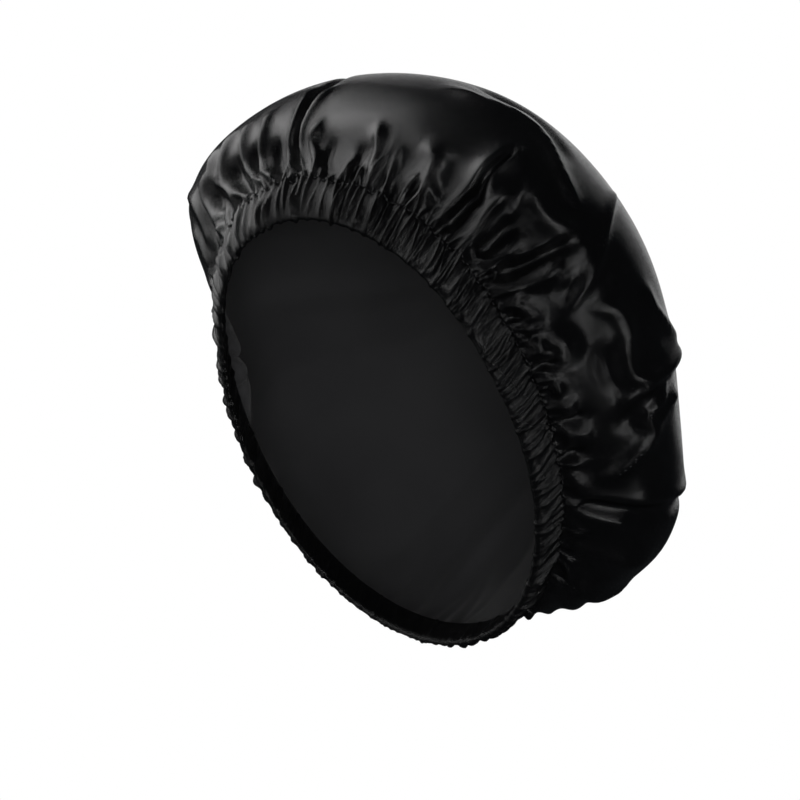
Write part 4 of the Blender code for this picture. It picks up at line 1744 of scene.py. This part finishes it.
@dataclass
class Casing:
    """The casing: the edge of the round, folded over the elastic and gathered up by it.

    Attributes:
        form: the crown's form, whose first ring the casing carries.
        crown: the crown, whose seam row and gathers the casing shares.
        mouth_half_width, mouth_half_length: half sizes of the mouth at the folded edge.
        row_height: distance between rows of cloth, in millimetres.
        outer_length: length of the casing's outer layer, from the stitches to the folded edge.
        inner_share: how high the ribs of the inner layer are, for those of the outer layer.
        inner_run: length of cloth over which they take on that height, in millimetres.
        edge_share, edge_reach: the same at the folded edge, and how wide that edge is.
        crease_run: how far over the casing the crown's creases are felt.
        ease, hold: spare cloth in the casing, and how firmly it keeps its form.
    """

    form: CrownForm
    crown: Crown
    mouth_half_width: float = 84.0
    mouth_half_length: float = 124.8
    row_height: float = 1.35
    outer_length: float = 19.0
    inner_share: float = 0.4
    inner_run: float = 4.0
    edge_share: float = 0.25
    edge_reach: float = 3.5
    crease_run: float = 12.0
    ease: float = 1.02
    hold: float = 0.15
    sheet: ClothSheet = field(init=False)
    points: Array = field(init=False)

    def section(self) -> Array:
        """Space points of the section evenly along the cloth.

        Returns:
            Each point's depth past the mouth, how far out it stands, and its way from the stitches.
        """
        knots = np.array(CASING_SECTION)
        steps = np.linalg.norm(np.diff(knots, axis=0), axis=1)
        stations = np.concatenate(([0.0], np.cumsum(steps)))
        count = int(stations[-1] / self.row_height) + 1
        even = np.linspace(0.0, stations[-1], count)
        return np.stack([np.interp(even, stations, knots[:, axis]) for axis in (0, 1)] + [even], 1)

    def ring_points(self, around: Array, depth: Array, offset: Array) -> Array:
        """Work out points of the casing.

        Args:
            around: angles round the mouth, in radians.
            depth: depths past the mouth, in millimetres.
            offset: how far out they stand from the casing's line.

        Returns:
            One point for each angle, depth and offset.
        """
        seam = self.form.rings[0]
        share = depth / seam[0]
        offset = offset + self.form.rim_lift(around, share)
        half_width = self.mouth_half_width + (seam[1] - self.mouth_half_width) * share
        half_length = self.mouth_half_length + (seam[2] - self.mouth_half_length) * share
        points = self.form.inward * depth[:, None] + self.form.forward_up * (seam[3] * share)[:, None]
        points = points + self.form.across * (half_width * np.cos(around))[:, None]
        points = points + self.form.forward_up * (half_length * np.sin(around))[:, None]
        return points + self.form.sideways_at(around) * offset[:, None]

    def rib_heights(self, sheet: ClothSheet) -> Array:
        """Work out the ribs, which run on from the crown's gathers and creases.

        Args:
            sheet: the casing's cloth.

        Returns:
            How far they lift the cloth at each point, in millimetres.
        """
        ribs = self.crown.gathers.ribs(sheet.around, sheet.reach)
        seam = sheet.around[sheet.row(0)]
        creases = self.crown.loose_heights(seam, np.zeros(len(seam)))
        creases = np.tile(creases, len(sheet.starts) - 1)
        ribs = ribs + creases * (1.0 - smooth_step(sheet.reach / self.crease_run))
        inner = smooth_step((sheet.reach - self.outer_length) / self.inner_run)
        ribs = ribs * (1.0 - (1.0 - self.inner_share) * inner)
        at_edge = np.exp(-(((sheet.reach - self.outer_length) / self.edge_reach) ** 2))
        return ribs * (1.0 - (1.0 - self.edge_share) * at_edge)

    def drape(self) -> None:
        """Fold the cloth over the elastic and relax its gathers."""
        section = self.section()
        columns = ROW_BANDS[0].columns
        rows = [SheetRow(way, self.form.cloth_length + way, columns) for way in section[:, 2]]
        sheet = SheetMaker(rows, closed_end=False).build()
        row_of = np.repeat(np.arange(len(rows)), columns)
        run = np.gradient(section[:, :2], axis=0)
        turned = unit(np.stack((run[:, 1], -run[:, 0]), axis=1))
        form = self.ring_points(sheet.around, section[row_of, 0], section[row_of, 1])
        probe = section[row_of, :2] + turned[row_of]
        facing = unit(self.ring_points(sheet.around, probe[:, 0], probe[:, 1]) - form)
        form = form + self.rib_heights(sheet)[:, None] * facing
        free = np.ones(sheet.count)
        first, last = sheet.row(0), sheet.row(len(rows) - 1)
        seam = self.crown.points[self.crown.sheet.row(0)]
        inner_seam = self.ring_points(sheet.around[last], section[row_of[last], 0], section[row_of[last], 1])
        form[first] = seam
        form[last] = inner_seam
        free[first] = free[last] = 0.0
        sheet.cut_for(form, np.full(sheet.count, self.ease))
        draper = Draper()
        hold = np.full(sheet.count, self.hold)
        self.sheet = sheet
        self.points = draper.relax(sheet, form, Drape(form, facing, hold, free))
        log.info("casing: %d points relaxed in %d passes", sheet.count, draper.passes)

    def build(self) -> bpy.types.Object:
        """Return the casing's mesh."""
        return ClothMesh("casing_satin", self.sheet, self.points, np.zeros(3)).tube()


@dataclass
class StitchLine:
    """The row of stitches that closes the casing.

    Attributes:
        casing: the casing that it is sewn through.
        stitch_length, gap, thread: sizes of a stitch, in millimetres.
        seat_row: the casing's row that it lies on.
        smoothing: how many points of the row the thread spans.
        lift: how far the thread stands off the gathers, in millimetres.
        least, most: range of a stitch's length and thicknesses, for their mean ones.
        seed: seed of the stitches' unevenness.
    """

    casing: Casing
    stitch_length: float = 2.3
    gap: float = 0.8
    thread: float = 0.3
    seat_row: int = 1
    smoothing: int = 2
    lift: float = 0.12
    least: tuple[float, float, float] = (0.85, 0.9, 0.9)
    most: tuple[float, float, float] = (1.08, 1.1, 1.1)
    seed: int = 3

    def path(self) -> Array:
        """Lay the thread over the gathers.

        Returns:
            The points that it runs through, in metres.
        """
        casing = self.casing
        row = casing.sheet.row(self.seat_row)
        points = casing.points[row]
        reach = self.smoothing
        smooth = sum(np.roll(points, step, axis=0) for step in range(-reach, reach + 1)) / (2 * reach + 1)
        away = smooth - (smooth @ casing.form.inward)[:, None] * casing.form.inward
        return (smooth + unit(away) * self.lift) * MM

    def tree(self) -> bpy.types.NodeTree:
        """Make the geometry node tree that lays stitches along a path.

        Returns:
            The tree, with a named input for each size.
        """
        tree = bpy.data.node_groups.new("stitches along a path", "GeometryNodeTree")
        tree.interface.new_socket(name="Path", in_out="INPUT", socket_type="NodeSocketGeometry")
        for name in ("Stitch length", "Gap", "Thread"):
            tree.interface.new_socket(name=name, in_out="INPUT", socket_type="NodeSocketFloat")
        tree.interface.new_socket(name="Seed", in_out="INPUT", socket_type="NodeSocketInt")
        tree.interface.new_socket(name="Finish", in_out="INPUT", socket_type="NodeSocketMaterial")
        tree.interface.new_socket(name="Stitches", in_out="OUTPUT", socket_type="NodeSocketGeometry")
        nodes = NodeBuilder(tree)
        given = nodes.add("NodeGroupInput", "in").outputs
        curve = nodes.add("GeometryNodeMeshToCurve", "path", {"Mesh": given["Path"]})
        pitch = nodes.math("ADD", "pitch", given["Stitch length"], given["Gap"])
        spacing = {"Curve": curve.outputs["Curve"], "Length": pitch}
        spaced = nodes.add("GeometryNodeResampleCurve", "one point a stitch", spacing, mode="LENGTH")
        ball = {"Segments": 8, "Rings": 5, "Radius": 0.5}
        bead = nodes.add("GeometryNodeMeshUVSphere", "stitch", ball)
        sizes = {"X": given["Stitch length"], "Y": given["Thread"], "Z": given["Thread"]}
        size = nodes.add("ShaderNodeCombineXYZ", "size of a stitch", sizes)
        chance = {"Min": self.least, "Max": self.most, "Seed": given["Seed"]}
        uneven = nodes.add("FunctionNodeRandomValue", "unevenness", chance, data_type="FLOAT_VECTOR")
        factors = {0: size.outputs[0], 1: uneven.outputs["Value"]}
        scale = nodes.add("ShaderNodeVectorMath", "this stitch", factors, operation="MULTIPLY")
        tangent = nodes.add("GeometryNodeInputTangent", "along the path")
        along = {"Vector": tangent.outputs["Tangent"]}
        turned = nodes.add("FunctionNodeAlignRotationToVector", "laid along", along, axis="X")
        instances = {
            "Points": spaced.outputs["Curve"],
            "Instance": bead.outputs["Mesh"],
            "Rotation": turned.outputs["Rotation"],
            "Scale": scale.outputs[0],
        }
        placed = nodes.add("GeometryNodeInstanceOnPoints", "stitches", instances)
        real = nodes.add("GeometryNodeRealizeInstances", "real", {"Geometry": placed.outputs["Instances"]})
        smooth = nodes.add("GeometryNodeSetShadeSmooth", "smooth", {"Geometry": real.outputs["Geometry"]})
        painting = {"Geometry": smooth.outputs["Geometry"], "Material": given["Finish"]}
        painted = nodes.add("GeometryNodeSetMaterial", "finish", painting)
        nodes.add("NodeGroupOutput", "out", {"Stitches": painted.outputs["Geometry"]})
        return tree

    def build(self, finish: bpy.types.Material) -> bpy.types.Object:
        """Sew the stitches, as one plain mesh.

        Args:
            finish: the thread's material.

        Returns:
            The new object.
        """
        path = self.path()
        count = len(path)
        guide = bpy.data.meshes.new("stitch_path")
        guide.from_pydata(path.tolist(), [(at, (at + 1) % count) for at in range(count)], [])
        thing = bpy.data.objects.new("casing_stitches", guide)
        bpy.context.scene.collection.objects.link(thing)
        modifier = thing.modifiers.new("stitches", "NODES")
        modifier.node_group = self.tree()
        values = {
            "Stitch length": self.stitch_length * MM,
            "Gap": self.gap * MM,
            "Thread": self.thread * MM,
            "Seed": self.seed,
            "Finish": finish,
        }
        for item in modifier.node_group.interface.items_tree:
            if item.in_out == "INPUT" and item.name in values:
                modifier[item.identifier] = values[item.name]
        evaluated = thing.evaluated_get(bpy.context.evaluated_depsgraph_get())
        made = bpy.data.meshes.new_from_object(evaluated)
        thing.modifiers.remove(modifier)
        thing.data = made
        made.name = "casing_stitches"
        return thing


@dataclass
class AreaLamp:
    """A soft square lamp, placed to the camera's right, towards the camera, and up, in metres.

    A lamp that does not shine lights matt cloth, but is not mirrored in the satin.
    """

    right: float
    near: float
    up: float
    size: float
    watts: float
    shines: bool = True


@dataclass
class Studio:
    """The plain studio: camera, lamps, white surroundings and a pale floor.

    Attributes:
        floor_drop, floor_radius: how far the floor is below the origin, and its size, in metres.
        floor_colour, floor_roughness: the floor's finish.
        background: the colour of the surroundings where the camera sees them.
        fill_colour, fill: colour and strength of the light that the surroundings give.
        lit_place: the place in the bonnet that the lamps are turned to, in metres.
        lamps: the lamps.
    """

    floor_drop: float = 0.34
    floor_radius: float = 0.55
    floor_colour: tuple[float, float, float, float] = (0.82, 0.82, 0.81, 1.0)
    floor_roughness: float = 0.8
    background: tuple[float, float, float, float] = (1.0, 1.0, 1.0, 1.0)
    fill_colour: tuple[float, float, float, float] = (0.85, 0.92, 1.0, 1.0)
    fill: float = 0.02
    lit_place: tuple[float, float, float] = (0.0, 0.05, 0.05)
    lamps: tuple[AreaLamp, ...] = (
        AreaLamp(-0.82, -0.10, 0.86, 1.2, 16.0),
        AreaLamp(-1.20, 0.30, 0.00, 0.7, 1.0),
        AreaLamp(-0.85, 0.92, -0.10, 0.35, 0.6),
        AreaLamp(0.60, 1.05, 0.34, 0.22, 1.1),
        AreaLamp(0.87, 0.87, -0.20, 0.20, 1.7),
        AreaLamp(0.00, 1.30, 0.05, 0.50, 16.0, shines=False),
        AreaLamp(0.30, -1.15, 0.45, 1.0, 2.4),
    )

    def place(self, right: float, near: float, up: float) -> Vector:
        """Return a place that lies to the camera's right, towards it, and up, in metres."""
        return sum((Vector(axis) * way for axis, way in zip(camera_axes(), (right, near, up))), Vector())

    def aimed(self, name: str, data: bpy.types.ID, place: Vector, target: Vector) -> bpy.types.Object:
        """Place a new object, turned to look at a target.

        Args:
            name: its name.
            data: its camera or lamp.
            place: where it stands.
            target: what it looks at.

        Returns:
            The new object, in the scene.
        """
        thing = bpy.data.objects.new(name, data)
        bpy.context.scene.collection.objects.link(thing)
        thing.location = place
        thing.rotation_euler = (target - place).to_track_quat("-Z", "Y").to_euler()
        return thing

    def add_camera(self) -> None:
        """Stand the camera where the photograph was taken from."""
        target = self.place(PHOTO_AIM_RIGHT, 0.0, PHOTO_AIM_UP)
        data = bpy.data.cameras.new("camera")
        data.lens = data.sensor_width * PHOTO_DISTANCE / PHOTO_WIDTH
        place = self.place(PHOTO_AIM_RIGHT, PHOTO_DISTANCE, PHOTO_AIM_UP)
        bpy.context.scene.camera = self.aimed("camera", data, place, target)

    def add_lamps(self) -> None:
        """Hang the soft lamps."""
        target = Vector(self.lit_place)
        for number, lamp in enumerate(self.lamps):
            data = bpy.data.lights.new(f"lamp_{number}", "AREA")
            data.size = lamp.size
            data.energy = lamp.watts
            place = self.place(lamp.right, lamp.near, lamp.up)
            thing = self.aimed(f"lamp_{number}", data, place, target)
            thing.visible_camera = False
            thing.visible_glossy = lamp.shines

    def add_surroundings(self) -> None:
        """Make the background white, and give the object only a little light from it."""
        world = bpy.data.worlds.new("studio")
        world.use_nodes = True
        world.node_tree.nodes.clear()
        nodes = NodeBuilder(world.node_tree)
        white = nodes.add("ShaderNodeBackground", "white background", {"Color": self.background})
        filling = {"Color": self.fill_colour, "Strength": self.fill}
        fill = nodes.add("ShaderNodeBackground", "fill light", filling)
        path = nodes.add("ShaderNodeLightPath", "what looks at it")
        choices = {
            0: path.outputs["Is Camera Ray"],
            1: fill.outputs["Background"],
            2: white.outputs["Background"],
        }
        mix = nodes.add("ShaderNodeMixShader", "background or fill", choices)
        nodes.add("ShaderNodeOutputWorld", "world", {"Surface": mix.outputs["Shader"]})
        bpy.context.scene.world = world
        bpy.context.scene.view_settings.view_transform = "Standard"

    def add_floor(self) -> None:
        """Lay a pale round floor under the object."""
        mesh = bpy.data.meshes.new("floor")
        shape = bmesh.new()
        bmesh.ops.create_circle(shape, cap_ends=True, segments=96, radius=self.floor_radius)
        middle = (self.lit_place[0], self.lit_place[1], -self.floor_drop)
        bmesh.ops.translate(shape, verts=shape.verts, vec=middle)
        shape.to_mesh(mesh)
        shape.free()
        material = bpy.data.materials.new("pale floor")
        material.use_nodes = True
        shader = material.node_tree.nodes["Principled BSDF"]
        shader.inputs["Base Color"].default_value = self.floor_colour
        shader.inputs["Roughness"].default_value = self.floor_roughness
        mesh.materials.append(material)
        floor = bpy.data.objects.new("floor", mesh)
        floor.visible_glossy = False
        bpy.context.scene.collection.objects.link(floor)

    def build(self) -> None:
        """Set up the whole studio."""
        self.add_camera()
        self.add_lamps()
        self.add_surroundings()
        self.add_floor()


def main() -> None:
    """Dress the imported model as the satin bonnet."""
    logging.basicConfig(level=logging.INFO, format="%(name)s: %(message)s")
    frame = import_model()
    log.info("frame: %d nodes", len(frame["nodes"]))
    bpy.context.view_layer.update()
    Studio().build()

    weave = SatinWeave().build()
    lie = ClothLie().build()
    finishes = {finish.face: finish.build(weave, lie) for finish in FINISHES}

    form = CrownForm()
    view = PhotoView(form)
    lines = [FoldLine(crease, view) for crease in CREASES]
    crown = Crown(form, lines, Gathers(form), Puckers(form))
    crown.drape()
    crown_satin = crown.build()
    for face in (Face.SHINY, Face.REVERSE):
        crown_satin.data.materials.append(finishes[face])
    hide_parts("crown")

    casing = Casing(form, crown)
    casing.drape()
    casing_satin = casing.build()
    casing_satin.data.materials.append(finishes[Face.CASING])
    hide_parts("elastic_casing")

    stitches = StitchLine(casing).build(finishes[Face.THREAD])

    for piece, slot in ((crown_satin, "satin"), (casing_satin, "casing_satin"), (stitches, "casing_satin")):
        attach(piece, "root")
        log.info("%s: %d faces", piece.name, len(piece.data.polygons))

    crown.flat_area


if __name__ == "__main__":
    main()
